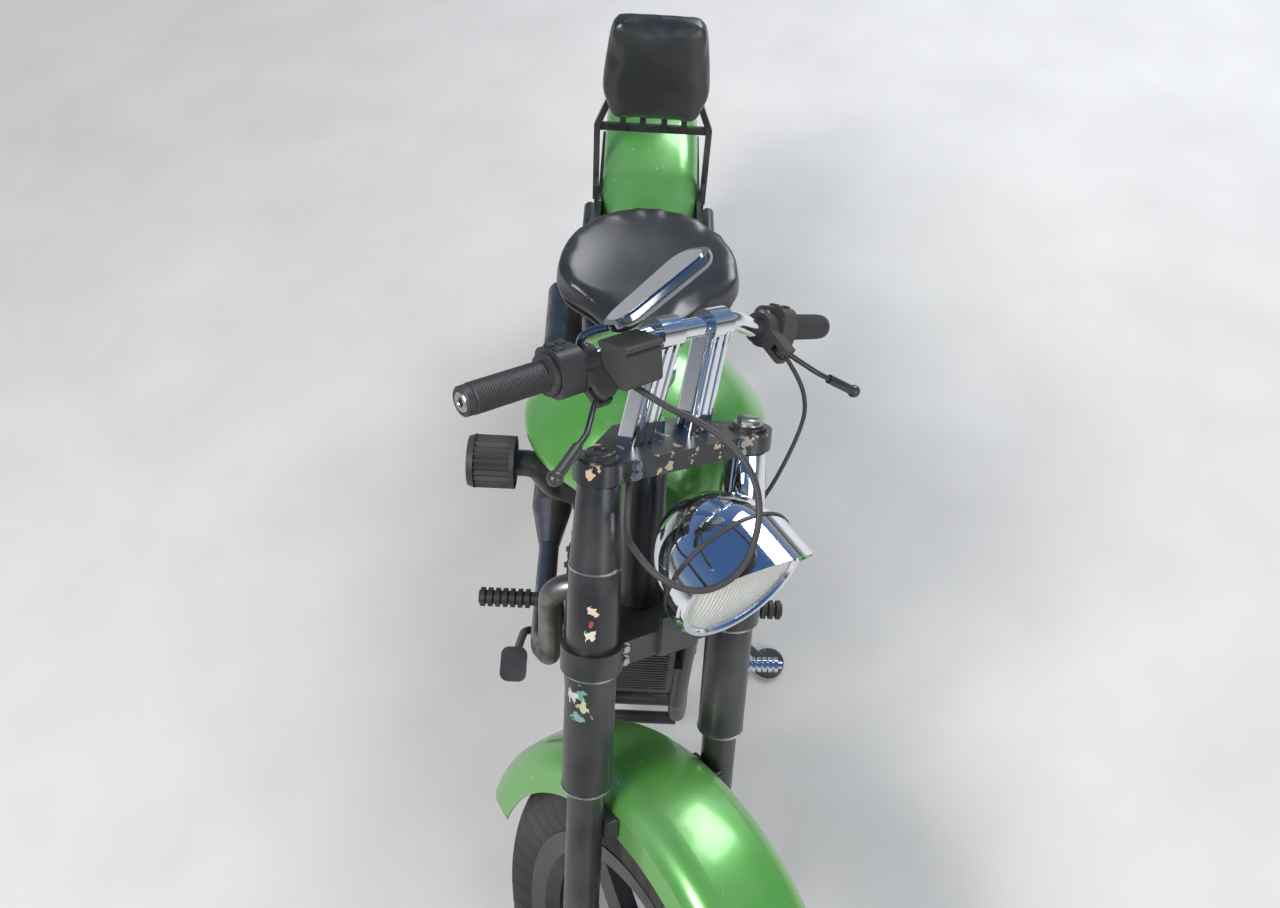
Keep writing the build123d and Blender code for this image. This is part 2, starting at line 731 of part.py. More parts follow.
with BuildPart() as mirror_glass:
    with BuildSketch(mirror_plane.offset(-2.8)):
        RectangleRounded(MIRROR_LENGTH - 10.6, MIRROR_WIDTH - 10.6, 15.7)
    extrude(amount=2)
keep(mirror_glass, "mirror_glass", True)

# Brake hose: from the reservoir's foot in a loop round the front of the lamp to the upper clamp
HOSE_RADIUS = 4.0
HOSE_ROUTE = (
    (-85, -136, 1266),
    (-58, -166, 1253),
    (-34, -202, 1230),
    (-24, -232, 1194),
    (-32, -249, 1150),
    (-60, -258, 1105),
    (-102, -238, 1079),
    (-134, -198, 1092),
    (-138, -160, 1112),
    (-122, -124, 1112),
    (-98, -92, 1128),
)
HOSE_END = (-84, -76, clamp_bottom - 2.6)
with BuildPart() as brake_hose:
    outlet = bar_place(-1, RESERVOIR_START + RESERVOIR_LENGTH / 2, RESERVOIR_FORWARD, RESERVOIR_FOOT - HOSE_RADIUS - SEAT_GAP)
    held_hose([outlet, *[steer_point(*place) for place in (*HOSE_ROUTE, HOSE_END)]], HOSE_RADIUS)
keep(brake_hose, "brake_hose", True)

# Clutch cable: from the left perch outside the leg and down to the lower clamp
CABLE_RADIUS = 3.0
CABLE_ROUTE = (
    (186, -84, 1248),
    (199, -86, 1210),
    (202, -78, 1178),
    (192, -68, 1132),
    (172, -58, 1082),
    (160, -32, 1036),
    (142, -6, 996),
    (112, -4, 962),
)
CABLE_END = (88, -22, LOWER_CLAMP_TOP + 2.8)
with BuildPart() as clutch_cable:
    outlet = perch_plane(1).from_local_coords((EYE_REACH + 10 + CABLE_RADIUS, 0, -8))
    held_hose([tuple(outlet), *[steer_point(*place) for place in (*CABLE_ROUTE, CABLE_END)]], CABLE_RADIUS)
keep(clutch_cable, "clutch_cable", True)

# Headlamp: bullet bucket with a peaked rim, a domed lens and a bracket from the lower clamp
lamp_tilt = math.radians(LAMP_TILT)
lamp_ahead = Vector(0, -math.cos(lamp_tilt), math.sin(lamp_tilt))
lamp_centre = Vector(*steer_point(0, LAMP_SET, LAMP_HEIGHT)) - lamp_ahead * LENS_SEAT
lamp_plane = Plane(origin=lamp_centre, x_dir=(1, 0, 0), z_dir=lamp_ahead)
lamp_side = Plane(origin=lamp_centre, x_dir=lamp_ahead, z_dir=(1, 0, 0))
lamp_axis = Axis(lamp_centre, lamp_ahead)
LENS_RADIUS = LAMP_RADIUS - 8
RIM_RADIUS_OUT = LAMP_RADIUS + 5
SHELL_STATION = (-76, LAMP_RADIUS * 0.6)
with BuildPart() as visor:
    with BuildSketch(lamp_plane.offset(26)):
        Circle(RIM_RADIUS_OUT)
        Circle(RIM_RADIUS_OUT - 3.5, mode=Mode.SUBTRACT)
    extrude(amount=VISOR_REACH + 4)
    slope = (lamp_plane.z_dir * RIM_RADIUS_OUT - lamp_plane.y_dir * VISOR_REACH).normalized()
    split(bisect_by=Plane(origin=lamp_plane.from_local_coords((0, 0, 30)), x_dir=(1, 0, 0), z_dir=slope), keep=Keep.BOTTOM)
with BuildPart() as headlamp_bucket:
    with BuildSketch(lamp_side):
        with BuildLine():
            ThreePointArc((-BUCKET_LENGTH, 0), SHELL_STATION, (0, LAMP_RADIUS))
            Polyline(
                (0, LAMP_RADIUS), (6, LAMP_RADIUS), (6, RIM_RADIUS_OUT), (30, RIM_RADIUS_OUT), (34, LAMP_RADIUS + 1),
                (34, LENS_RADIUS + SEAT_GAP), (8, LENS_RADIUS + SEAT_GAP), (8, 0), (-BUCKET_LENGTH, 0),
            )
        make_face()
    revolve(axis=lamp_axis)
    add(visor.part)
keep(headlamp_bucket, "headlamp_bucket", True)

with BuildPart() as headlamp_lens:
    with BuildSketch(lamp_side):
        with BuildLine():
            Line((8 + SEAT_GAP, 0), (8 + SEAT_GAP, LENS_RADIUS))
            Line((8 + SEAT_GAP, LENS_RADIUS), (33, LENS_RADIUS))
            RadiusArc((33, LENS_RADIUS), (46, 0), (LENS_RADIUS**2 + 13**2) / 26)
            Line((46, 0), (8 + SEAT_GAP, 0))
        make_face()
    revolve(axis=lamp_axis)
keep(headlamp_lens, "headlamp_lens", True)

with BuildPart() as headlamp_bracket:
    foot_front = -FORK_OFFSET - LOWER_CLAMP_FRONT - SEAT_GAP
    with BuildSketch(steer_plane(LOWER_CLAMP_TOP - LOWER_CLAMP_THICK)):
        with Locations((0, foot_front - 4)):
            Rectangle(60, 8)
    extrude(amount=LOWER_CLAMP_THICK + 22)
    bracket_top = tuple(lamp_plane.from_local_coords((0, 12 - LAMP_RADIUS, -22)))
    bar_between(steer_point(0, foot_front - 6, LOWER_CLAMP_TOP + 12), bracket_top, 11)
    with BuildSketch(lamp_side):
        with BuildLine():
            ThreePointArc(
                (-BUCKET_LENGTH - SEAT_GAP, 0), (SHELL_STATION[0] - SEAT_GAP, SHELL_STATION[1] + SEAT_GAP),
                (0, LAMP_RADIUS + SEAT_GAP),
            )
            Polyline((0, LAMP_RADIUS + SEAT_GAP), (5, LAMP_RADIUS + SEAT_GAP), (5, 0), (-BUCKET_LENGTH - SEAT_GAP, 0))
        make_face()
    revolve(axis=lamp_axis, mode=Mode.SUBTRACT)
keep(headlamp_bracket, "headlamp_bracket", True)


# Front fender: creased skin revolved round the axle, between the legs
def fender_outline(half, radius, side):
    """Closed section of a fender on a plane through the axle, Y outwards."""
    with BuildLine() as edge:
        Line((-half, radius - side), (-half, radius - 38))
        ThreePointArc((-half, radius - 38), (-half * 0.84, radius - 15), (-half * 0.56, radius - 4))
        ThreePointArc((-half * 0.56, radius - 4), (0, radius), (half * 0.56, radius - 4))
        ThreePointArc((half * 0.56, radius - 4), (half * 0.84, radius - 15), (half, radius - 38))
        Line((half, radius - 38), (half, radius - side))
        Line((half, radius - side), (-half, radius - side))
    return edge.line


def fender_arc(centre, half, radius, side, skin, front_angle, rear_angle):
    """Thin creased skin round an axle from a rear angle to a front angle."""
    lean_back = math.radians(rear_angle)
    plane = Plane(origin=centre, x_dir=(1, 0, 0), z_dir=(0, -math.cos(lean_back), math.sin(lean_back)))
    with BuildPart() as fender:
        with BuildSketch(plane):
            make_face(fender_outline(half, radius, side))
            make_face(fender_outline(half - skin, radius - skin, side + 10), mode=Mode.SUBTRACT)
        revolve(axis=Axis(centre, (1, 0, 0)), revolution_arc=front_angle + rear_angle)
    return fender


front_fender = fender_arc(front_hub, FENDER_HALF, FENDER_RADIUS, FENDER_SIDE, FENDER_SKIN, 62, 98)
keep(front_fender, "front_fender", True)

# Fender stays: blocks between the sliders and the fender's sides
STAY_REACH = 312.0
stay_y = STAY_REACH * sin_rake
stay_z = FRONT_RADIUS + STAY_REACH * cos_rake
with BuildPart() as fender_stays:
    for sign in (-1, 1):
        with BuildSketch(Plane(origin=(sign * (FENDER_HALF + SEAT_GAP), stay_y, stay_z), x_dir=(0, cos_rake, -sin_rake), z_dir=(sign, 0, 0))):
            RectangleRounded(64, 30, 6)
        extrude(amount=18)
    for x, y in leg_centres:
        with BuildSketch(steer_plane(AXLE_HEIGHT)):
            with Locations((x, y)):
                Circle(SLIDER_RADIUS + SEAT_GAP)
        extrude(amount=COVER_END - AXLE_HEIGHT, mode=Mode.SUBTRACT)
keep(fender_stays, "fender_stays", True)

# Front caliper behind the left slider, straddling the disc and held by the slider's lugs
caliper_y = CALIPER_UP * sin_rake + CALIPER_BACK * cos_rake
caliper_z = CALIPER_UP * cos_rake - CALIPER_BACK * sin_rake
with BuildPart() as front_caliper:
    with BuildSketch(across(disc_face - CALIPER_HALF)):
        with Locations(Location((caliper_y, FRONT_RADIUS + caliper_z, 0), math.degrees(math.atan2(caliper_z, caliper_y)))):
            RectangleRounded(58, 96, 12)
    extrude(amount=DISC_THICK + 2 * CALIPER_HALF)
    with BuildSketch(Plane(origin=(disc_face - 1.5, 0, FRONT_RADIUS), x_dir=(0, 1, 0), z_dir=(1, 0, 0))):
        Circle(DISC_RADIUS + 3)
    extrude(amount=DISC_THICK + 3, mode=Mode.SUBTRACT)
keep(front_caliper, "front_caliper", True)

# Frame: head tube, backbone, twin downtubes and cradle, seat rails and the stand's ears
head_low = LOWER_CLAMP_TOP + 1
head_high = CLAMP_TOP - UPPER_CLAMP_THICK - 1
pivot = Vector(*STAND_PIVOT)
foot_height = -LIFT / ground_normal.Z - (ground_normal.X * STAND_FOOT[0] + ground_normal.Y * STAND_FOOT[1]) / ground_normal.Z
foot = Vector(STAND_FOOT[0], STAND_FOOT[1], foot_height)
stand_axis = (foot - pivot).cross(Vector(*STAND_STOWED)).normalized()
inward = Vector(-1, 0, 0) - stand_axis * Vector(-1, 0, 0).dot(stand_axis)
clevis = Plane(origin=pivot, x_dir=inward, z_dir=stand_axis)
BACKBONE_ROUTE = (steer_point(0, 0, BACKBONE_START), (0, 600, 872), (0, 790, 712), (0, 990, 692))
downtube_start = steer_point(12, 10, DOWNTUBE_START)
# Plates that hold the engine to the crossbars, as Y and Z
FRONT_PLATE = ((448, 285), (448, 315), (499.0, 315), (501.7, 285))
REAR_PLATE = ((929.9, 268), (1012, 240), (1012, 262), (953.9, 300))
ENGINE_PLATES = (
    # outline, inner side, thickness
    (FRONT_PLATE, 36, 8),
    (REAR_PLATE, 56, 8),
)
with BuildPart() as frame:
    with BuildSketch(steer_plane(head_low)):
        Circle(HEAD_TUBE_RADIUS)
    extrude(amount=head_high - head_low)
    round_tube(BACKBONE_ROUTE, 60, BACKBONE_RADIUS)
    for sign in (-1, 1):
        round_tube(
            [
                (sign * downtube_start[0], *downtube_start[1:]),
                (sign * CRADLE_HALF, 440, 690),
                (sign * CRADLE_HALF, 448, 300),
                (sign * 98, 470, CRADLE_HEIGHT),
                (sign * 112, 610, CRADLE_HEIGHT),
                (sign * 112, 990, CRADLE_HEIGHT),
                (sign * 106, 1030, 330),
                (sign * 98, 1000, 700),
            ],
            (60, 60, 60, 60, 60, 200),
            TUBE_RADIUS,
        )
        round_tube([(sign * 92, 930, 704), (sign * RAIL_X, 1130, 704), (sign * RAIL_X, 1310, 690)], 120, RAIL_RADIUS)
    for y, z, half, radius in FRAME_CROSSBARS:
        bar_between((-half, y, z), (half, y, z), radius)
    for outline, inner, thick in ENGINE_PLATES:
        for x in (inner, -inner - thick):
            with BuildSketch(across(x)):
                Polygon(*outline, align=None)
            extrude(amount=thick)
    with BuildSketch(steer_plane(head_low - 5)):
        Circle(STEM_RADIUS + RUNNING_GAP)
    extrude(amount=head_high - head_low + 10, mode=Mode.SUBTRACT)
    with BuildSketch(clevis.offset(-CLEVIS_HALF)):
        Circle(CLEVIS_RADIUS)
        with Locations((CLEVIS_REACH / 2, 0)):
            Rectangle(CLEVIS_REACH, 2 * CLEVIS_RADIUS)
    extrude(amount=2 * CLEVIS_HALF)
    bar_between(tuple(clevis.from_local_coords((CLEVIS_REACH - 6, 0, 0))), (112, STAND_PIVOT[1], CRADLE_HEIGHT), 12)
    with BuildSketch(clevis.offset(-CLEVIS_SLOT)):
        Circle(CLEVIS_RADIUS + 2)
        with Locations((-CLEVIS_REACH / 2, 0)):
            Rectangle(CLEVIS_REACH, 2 * CLEVIS_RADIUS + 10)
    extrude(amount=2 * CLEVIS_SLOT, mode=Mode.SUBTRACT)
    with BuildSketch(clevis.offset(-CLEVIS_HALF)):
        Circle(STAND_PIN_RADIUS)
    extrude(amount=2 * CLEVIS_HALF)
keep(frame, "frame")


def cylinder_plane(angle):
    """Plane across a cylinder's axis at the crankshaft, leaned by an angle to the rear."""
    lean_angle = math.radians(angle)
    along = (0, math.sin(lean_angle), math.cos(lean_angle))
    return Plane(origin=(0, CRANK_Y, CRANK_Z), x_dir=(1, 0, 0), z_dir=along)


# Engine: crankcases with round side covers
CASE_OUTLINE = (
    (-60, -128), (-140, -70), (-150, 40), (-96, 104), (0, 70),
    (96, 104), (150, 62), (290, 66), (310, -20), (250, -100),
)
SIDE_COVERS = ((0, -14, 104, 26), (172, -6, 74, 20))
with BuildPart() as engine_cases:
    half_case = CASE_WIDTH / 2 - 30
    with BuildSketch(across(-half_case)):
        with BuildLine():
            Polyline(*[(CRANK_Y + y, CRANK_Z + z) for y, z in CASE_OUTLINE], close=True)
        make_face()
    extrude(amount=2 * half_case)
    for y, z, radius, depth in SIDE_COVERS:
        for sign in (-1, 1):
            with BuildSketch(across(sign * (half_case - 1), sign)):
                with Locations((sign * (CRANK_Y + y), CRANK_Z + z)):
                    Circle(radius)
            extrude(amount=depth + 1, taper=8)
    for sign in (-1, 1):
        with BuildSketch(cylinder_plane(sign * CYLINDER_ANGLE).offset(CYLINDER_START)):
            Rectangle(2 * CASE_WIDTH, 124)
        extrude(amount=160, mode=Mode.SUBTRACT)
keep(engine_cases, "engine_cases")


def make_cylinder(angle):
    """Finned barrel, head and rocker cover along an axis leaned by an angle to the rear."""
    base = cylinder_plane(angle)
    with BuildPart() as cylinder:
        with BuildSketch(base.offset(CYLINDER_START)):
            Circle(50)
        extrude(amount=190)
        for row in range(10):
            with BuildSketch(base.offset(150 + row * FIN_PITCH)):
                RectangleRounded(FIN_SIDE, FIN_SIDE - 10, 24)
            extrude(amount=FIN_THICK)
        with BuildSketch(base.offset(HEAD_START)):
            RectangleRounded(FIN_SIDE - 10, FIN_SIDE - 16, 20)
        extrude(amount=62)
        for row in range(4):
            with BuildSketch(base.offset(HEAD_START + 2 + row * HEAD_FIN_PITCH)):
                RectangleRounded(FIN_SIDE + 6, FIN_SIDE, 22)
            extrude(amount=7)
        with BuildSketch(base.offset(323)):
            RectangleRounded(FIN_SIDE - 8, FIN_SIDE - 14, 20)
        with BuildSketch(base.offset(366)):
            RectangleRounded(FIN_SIDE - 34, FIN_SIDE - 46, 16)
        loft()
    return cylinder


front_cylinder = make_cylinder(-CYLINDER_ANGLE)
rear_cylinder = make_cylinder(CYLINDER_ANGLE)
keep(front_cylinder, "front_cylinder")
keep(rear_cylinder, "rear_cylinder")

# Exhaust: a header from each head down the right side to two open mufflers
EXHAUSTS = (
    # header route, its bends, muffler start, muffler end
    (((-77.3, 500, 600), (-134, 500, 600), (-140, 486, 380), (-166, 560, 262), (-168, 800, 250)), (44, 60, 60),
     (-168, 790, 250), (-174, 1340, 262)),
    (((-77.3, 782, 600), (-136, 782, 600), (-172, 830, 470), (-168, 890, 362), (-168, 1020, 352)), (30, 60, 40),
     (-168, 1010, 352), (-174, 1400, 362)),
)
with BuildPart() as exhaust_pipes:
    for route, bend, start, end in EXHAUSTS:
        round_tube(list(route), bend, 20)
        run = Vector(*end) - Vector(*start)
        base = Plane(origin=start, z_dir=run)
        with BuildSketch(base):
            Circle(21)
        with BuildSketch(base.offset(90)):
            Circle(41)
        loft()
        with BuildSketch(base.offset(90)):
            Circle(41)
        extrude(amount=run.length - 90)
        with BuildSketch(base.offset(run.length - 70)):
            Circle(34)
        extrude(amount=80, mode=Mode.SUBTRACT)
keep(exhaust_pipes, "exhaust_pipes")

# Radiator between the downtubes, with a slotted guard and tabs to the tubes
RADIATOR_WIDTH = 132.0
RADIATOR_HEIGHT = 220.0
RADIATOR_FRONT = 398.0
RADIATOR_MIDDLE = 560.0
TAB_X = 72.0
with BuildPart() as radiator:
    core = Plane(origin=(0, RADIATOR_FRONT, RADIATOR_MIDDLE), x_dir=(1, 0, 0), z_dir=(0, -1, 0))
    with BuildSketch(core):
        Rectangle(RADIATOR_WIDTH, RADIATOR_HEIGHT)
    extrude(amount=-28)
    with BuildSketch(core):
        RectangleRounded(RADIATOR_WIDTH, RADIATOR_HEIGHT, 8)
        with GridLocations(0, 9, 1, 22):
            SlotOverall(RADIATOR_WIDTH - 16, 5, mode=Mode.SUBTRACT)
    extrude(amount=6)
    for height in (RADIATOR_MIDDLE - 70, RADIATOR_MIDDLE + 70):
        with BuildSketch(Plane.XY.offset(height - 5)):
            with GridLocations(2 * TAB_X, 0, 2, 1):
                with Locations((0, RADIATOR_FRONT + 30)):
                    Rectangle(24, 28)
        extrude(amount=10)
    for sign in (-1, 1):
        bar_between((sign * CRADLE_HALF, 440, 690), (sign * CRADLE_HALF, 448, 300), TUBE_RADIUS + SEAT_GAP, Mode.SUBTRACT)
keep(radiator, "radiator")

# Intake: a tube between the heads and an elbow out to the filter on the right
POD_Y = 600.0
POD_Z = 786.0
POD_START = 190.0
INTAKE_Z = 646.0
PLEATS = 24
lean_cylinder = math.radians(CYLINDER_ANGLE)
last_fin = HEAD_START + 2 + 3 * HEAD_FIN_PITCH
intake_half = last_fin * math.sin(lean_cylinder) - FIN_SIDE / 2 * math.cos(lean_cylinder) - SEAT_GAP
with BuildPart() as intake_manifold:
    bar_between((0, CRANK_Y - intake_half, INTAKE_Z), (0, CRANK_Y + intake_half, INTAKE_Z), 22)
    elbow = [(SEAT_GAP - POD_START, POD_Y, POD_Z), (-160, POD_Y, POD_Z), (-136, 612, 716), (0, 612, INTAKE_Z)]
    round_tube(elbow, (24, 30), 20)
keep(intake_manifold, "intake_manifold")

# Pod air filter: a base ring, pleats and a capped end
with BuildPart() as air_filter:
    pod = Plane(origin=(-POD_START, POD_Y, POD_Z), x_dir=(0, 1, 0), z_dir=(-1, 0, 0))
    with BuildSketch(pod):
        Circle(40)
    extrude(amount=7)
    with BuildSketch(pod.offset(6)):
        pleats = []
        for step in range(2 * PLEATS):
            turn = math.pi * step / PLEATS
            reach = 36 + 4 * (step % 2)
            pleats.append((reach * math.cos(turn), reach * math.sin(turn)))
        Polygon(*pleats, align=None)
    extrude(amount=55)
    with BuildSketch(pod.offset(60)):
        Circle(41)
    extrude(amount=10, taper=20)
keep(air_filter, "air_filter")

# Fuel tank: sections along the machine, with a tunnel for the backbone
TANK_SECTIONS = (
    # y, half width, bottom, widest height, top
    (500, 58, 812, 850, 892),
    (565, 152, 778, 842, 932),
    (650, 185, 766, 838, 946),
    (750, 152, 770, 828, 924),
    (836, 62, 784, 815, 862),
)
with BuildPart() as fuel_tank:
    for y, half, bottom, widest, top in TANK_SECTIONS:
        with BuildSketch(Plane(origin=(0, y, 0), x_dir=(1, 0, 0), z_dir=(0, -1, 0))) as section:
            with BuildLine():
                Line((-half * 0.62, bottom), (half * 0.62, bottom))
                Line((half * 0.62, bottom), (half, widest))
                ThreePointArc((half, widest), (0, top), (-half, widest))
                Line((-half, widest), (-half * 0.62, bottom))
            make_face()
            fillet(section.vertices(), (widest - bottom) * 0.28)
    loft()
    round_tube(BACKBONE_ROUTE, 60, BACKBONE_RADIUS + SEAT_GAP, Mode.SUBTRACT)
    with BuildSketch(Plane.XY.offset(930)):
        with Locations((0, 655)):
            Circle(36)
    extrude(amount=28)
keep(fuel_tank, "fuel_tank")

# Saddle: plan outline with a narrow nose, its base plate and two springs
def saddle_outline(grow=0.0):
    """Plan of the solo saddle, round behind and narrow in front."""
    half = SEAT_WIDTH / 2 + grow
    wide_y = SEAT_BACK - SEAT_WIDTH / 2
    with BuildLine() as edge:
        rear = ThreePointArc((0, SEAT_BACK + grow), (half * 0.7071, wide_y + half * 0.7071), (half, wide_y))
        thigh = TangentArc((half, wide_y), (half * 0.75, wide_y - 72), tangent=rear % 1)
        waist = TangentArc(thigh @ 1, (60 + grow / 2, SEAT_FRONT + 38), tangent=thigh % 1)
        TangentArc(waist @ 1, (0, SEAT_FRONT - grow), tangent=waist % 1)
        mirror(about=Plane.YZ)
    return edge.line


with BuildPart() as saddle:
    with BuildSketch(Plane.XY.offset(SEAT_BASE)):
        make_face(saddle_outline())
    extrude(amount=SEAT_THICK)
keep(saddle, "saddle")

with BuildPart() as saddle_base:
    with BuildSketch(Plane.XY.offset(SEAT_BASE - 4.3)):
        make_face(saddle_outline(-10))
    extrude(amount=4)
    for x in (-62, 62):
        with BuildSketch(Plane.XY.offset(704.3)):
            with Locations((x, 1096)):
                Circle(24)
        extrude(amount=SEAT_BASE - 4.3 - 704.3)
keep(saddle_base, "saddle_base")

# Rear fender over the rear wheel, carried by the seat rails
rear_fender = fender_arc((0, WHEELBASE - 14, REAR_RADIUS), REAR_FENDER_HALF, REAR_FENDER_RADIUS, 96, 2.5, 46, 66)
keep(rear_fender, "rear_fender")

# Tail lamp on the fender's crown
with BuildPart() as tail_lamp:
    lamp_angle = math.radians(30)
    crown = REAR_FENDER_RADIUS + SEAT_GAP
    seat_point = (0, WHEELBASE - 14 + crown * math.sin(lamp_angle), REAR_RADIUS + crown * math.cos(lamp_angle))
    lamp_seat = Plane(origin=seat_point, x_dir=(1, 0, 0), z_dir=(0, math.sin(lamp_angle), math.cos(lamp_angle)))
    with BuildSketch(lamp_seat):
        RectangleRounded(70, 96, 24)
    with BuildSketch(lamp_seat.offset(34)):
        RectangleRounded(44, 62, 18)
    loft()
keep(tail_lamp, "tail_lamp")

# Fender struts: flat bars along the fender's sides
with BuildPart() as fender_struts:
    for sign in (-1, 1):
        with BuildSketch(across(sign * STRUT_X, sign)):
            Polygon(
                (sign * 1190, 712), (sign * 1190, 676), (sign * 1400, 622), (sign * 1600, 618),
                (sign * 1612, 640), (sign * 1600, 660), (sign * 1420, 664), align=None,
            )
        extrude(amount=STRUT_THICK)
keep(fender_struts, "fender_struts")

# Backrest: side plates, square uprights bent inwards, a flat crossbar and four flat stays
BACKREST_Y = 1420.0
PAD_MIDDLE = 934.0
UPRIGHT_SIDE = 12.0
upright_x = STRUT_X + STRUT_THICK + SEAT_GAP + UPRIGHT_SIDE / 2
pad_plane = Plane(origin=(0, BACKREST_Y + 11, PAD_MIDDLE), x_dir=(1, 0, 0), z_dir=(0, -1, 0.09))
STAY_PLACES = (-60, -21, 21, 60)
with BuildPart() as backrest_bar:
    behind = -UPRIGHT_SIDE / 2 - SEAT_GAP
    for sign in (-1, 1):
        low = tuple(pad_plane.from_local_coords((sign * 84, -68, behind)))
        high = tuple(pad_plane.from_local_coords((sign * 78, 66, behind)))
        x = sign * upright_x
        flat_bar([(x, BACKREST_Y - 20, 640), (x, BACKREST_Y + 6, 800), low, high], UPRIGHT_SIDE, UPRIGHT_SIDE)
        with BuildSketch(across(sign * (upright_x - UPRIGHT_SIDE / 2), sign)):
            with Locations((sign * (BACKREST_Y - 30), 658)):
                RectangleRounded(34, 76, 8)
        extrude(amount=8)
    cross_place = (BACKREST_Y + 9, 796)
    with BuildSketch(across(-upright_x)):
        with Locations(cross_place):
            Rectangle(7, 16)
    extrude(amount=2 * upright_x)
    for x in STAY_PLACES:
        start = tuple(pad_plane.from_local_coords((x, -140, -2 - SEAT_GAP)))
        flat_bar([start, tuple(pad_plane.from_local_coords((x, 60, -2 - SEAT_GAP)))], 12, 4)
keep(backrest_bar, "backrest_bar")

with BuildPart() as backrest_pad:
    with BuildSketch(pad_plane) as pad_sketch:
        Polygon((-84, -100), (84, -100), (106, -40), (88, 102), (-88, 102), (-106, -40), align=None)
        fillet(pad_sketch.vertices(), 24)
    extrude(amount=44)
keep(backrest_pad, "backrest_pad")

# Swinging arm with the final drive on the left and a pin for the shock absorber
SHOCK_TOP = (1096.0, 694.0)
SHOCK_TOP_PIN = 10.0
SHOCK_FOOT_PIN = 9.0
arm_slope = (REAR_RADIUS - SWINGARM_Z) / (WHEELBASE - SWINGARM_Y)
shock_foot = (SHOCK_TOP[0] + 4, SWINGARM_Z + arm_slope * (SHOCK_TOP[0] + 4 - SWINGARM_Y))
with BuildPart() as swingarm:
    with BuildSketch(across(-84)):
        with Locations((SWINGARM_Y, SWINGARM_Z)):
            Circle(25)
    extrude(amount=168)
    for sign in (-1, 1):
        stations = ((60, 0), (64, 50), (ARM_X, 130), (ARM_X, WHEELBASE + 22 - SWINGARM_Y))
        route = [(sign * x, SWINGARM_Y + back, SWINGARM_Z + arm_slope * back) for x, back in stations]
        round_tube(route, (40, 40), ARM_RADIUS)
    bar_between((-76, *shock_foot), (76, *shock_foot), SHOCK_FOOT_PIN)
    with BuildSketch(across(rear_half + 8)):
        with Locations((WHEELBASE, REAR_RADIUS)):
            Circle(84)
    extrude(amount=68, taper=12)
    with BuildSketch(across(-140)):
        with Locations((WHEELBASE, REAR_RADIUS)):
            Circle(24)
    extrude(amount=60)
    for y, z, radius in ((WHEELBASE, REAR_RADIUS, AXLE_RADIUS + 0.1), (SWINGARM_Y, SWINGARM_Z, PIVOT_RADIUS + 0.1)):
        with BuildSketch(across(-200)):
            with Locations((y, z)):
                Circle(radius)
        extrude(amount=400, mode=Mode.SUBTRACT)
keep(swingarm, "swingarm")

# Shock absorber hidden ahead of the rear wheel: eyes on the two pins, a body and a covered spring
shock_run = Vector(0, *shock_foot) - Vector(0, *SHOCK_TOP)
SHOCK_STAGES = (
    # from the top eye, length, radius
    (12, 34, 14),
    (40, 150, 32),
    (186, 90, 26),
    (270, shock_run.length - 282, 15),
)
with BuildPart() as shock_absorbers:
    base = Plane(origin=(0, *SHOCK_TOP), z_dir=shock_run)
    for start, length, radius in SHOCK_STAGES:
        with BuildSketch(base.offset(start)):
            Circle(radius)
        extrude(amount=length)
    for place, pin in ((SHOCK_TOP, SHOCK_TOP_PIN), (shock_foot, SHOCK_FOOT_PIN)):
        with BuildSketch(across(-17)):
            with Locations(place):
                Circle(pin + 9)
        extrude(amount=34)
        with BuildSketch(across(-20)):
            with Locations(place):
                Circle(pin + SEAT_GAP)
        extrude(amount=40, mode=Mode.SUBTRACT)
keep(shock_absorbers, "shock_absorbers")

# Battery box under the saddle, hung from the frame's backbone
with BuildPart() as battery_box:
    box_top = BACKBONE_ROUTE[-1][2] - BACKBONE_RADIUS - SEAT_GAP
    with BuildSketch(Plane.XY.offset(box_top)):
        with Locations((0, 976)):
            RectangleRounded(156, 142, 14)
    extrude(amount=-180)
    for sign in (-1, 1):
        with BuildSketch(across(sign * 77, sign)):
            with Locations((sign * 940, box_top - 92)):
                RectangleRounded(52, 140, 12)
        extrude(amount=12, taper=20)
keep(battery_box, "battery_box")

# Foot pegs on plates beside the cradle tubes
PEG_RIBS = 7
with BuildPart() as foot_pegs:
    plate_x = CRADLE_X + TUBE_RADIUS + SEAT_GAP
    for sign in (-1, 1):
        with BuildSketch(across(sign * plate_x, sign)):
            Polygon(
                (sign * (PEG_Y - 20), 152), (sign * (PEG_Y + 20), 152),
                (sign * (PEG_Y + 20), PEG_Z + 18), (sign * (PEG_Y - 20), PEG_Z + 18), align=None,
            )
        extrude(amount=PEG_PLATE_THICK)
        with BuildSketch(across(sign * (plate_x + PEG_PLATE_THICK - 1), sign)):
            with Locations((sign * PEG_Y, PEG_Z)):
                Circle(13)
        extrude(amount=150)
        for rib in range(PEG_RIBS):
            with BuildSketch(across(sign * (190 + rib * 14), sign)):
                with Locations((sign * PEG_Y, PEG_Z)):
                    Circle(18)
            extrude(amount=8)
keep(foot_pegs, "foot_pegs")

with BuildPart() as brake_pedal:
    pedal_start = -plate_x - PEG_PLATE_THICK - SEAT_GAP
    round_tube([(pedal_start, 622, 205), (-204, 622, 205), (-208, 524, 290), (-204, 484, 340)], (20, 30), 8)
    with BuildSketch(Plane(origin=(-204, 482, 342), z_dir=(0, -0.35, 1))):
        RectangleRounded(60, 46, 14)
    extrude(amount=12)
keep(brake_pedal, "brake_pedal")

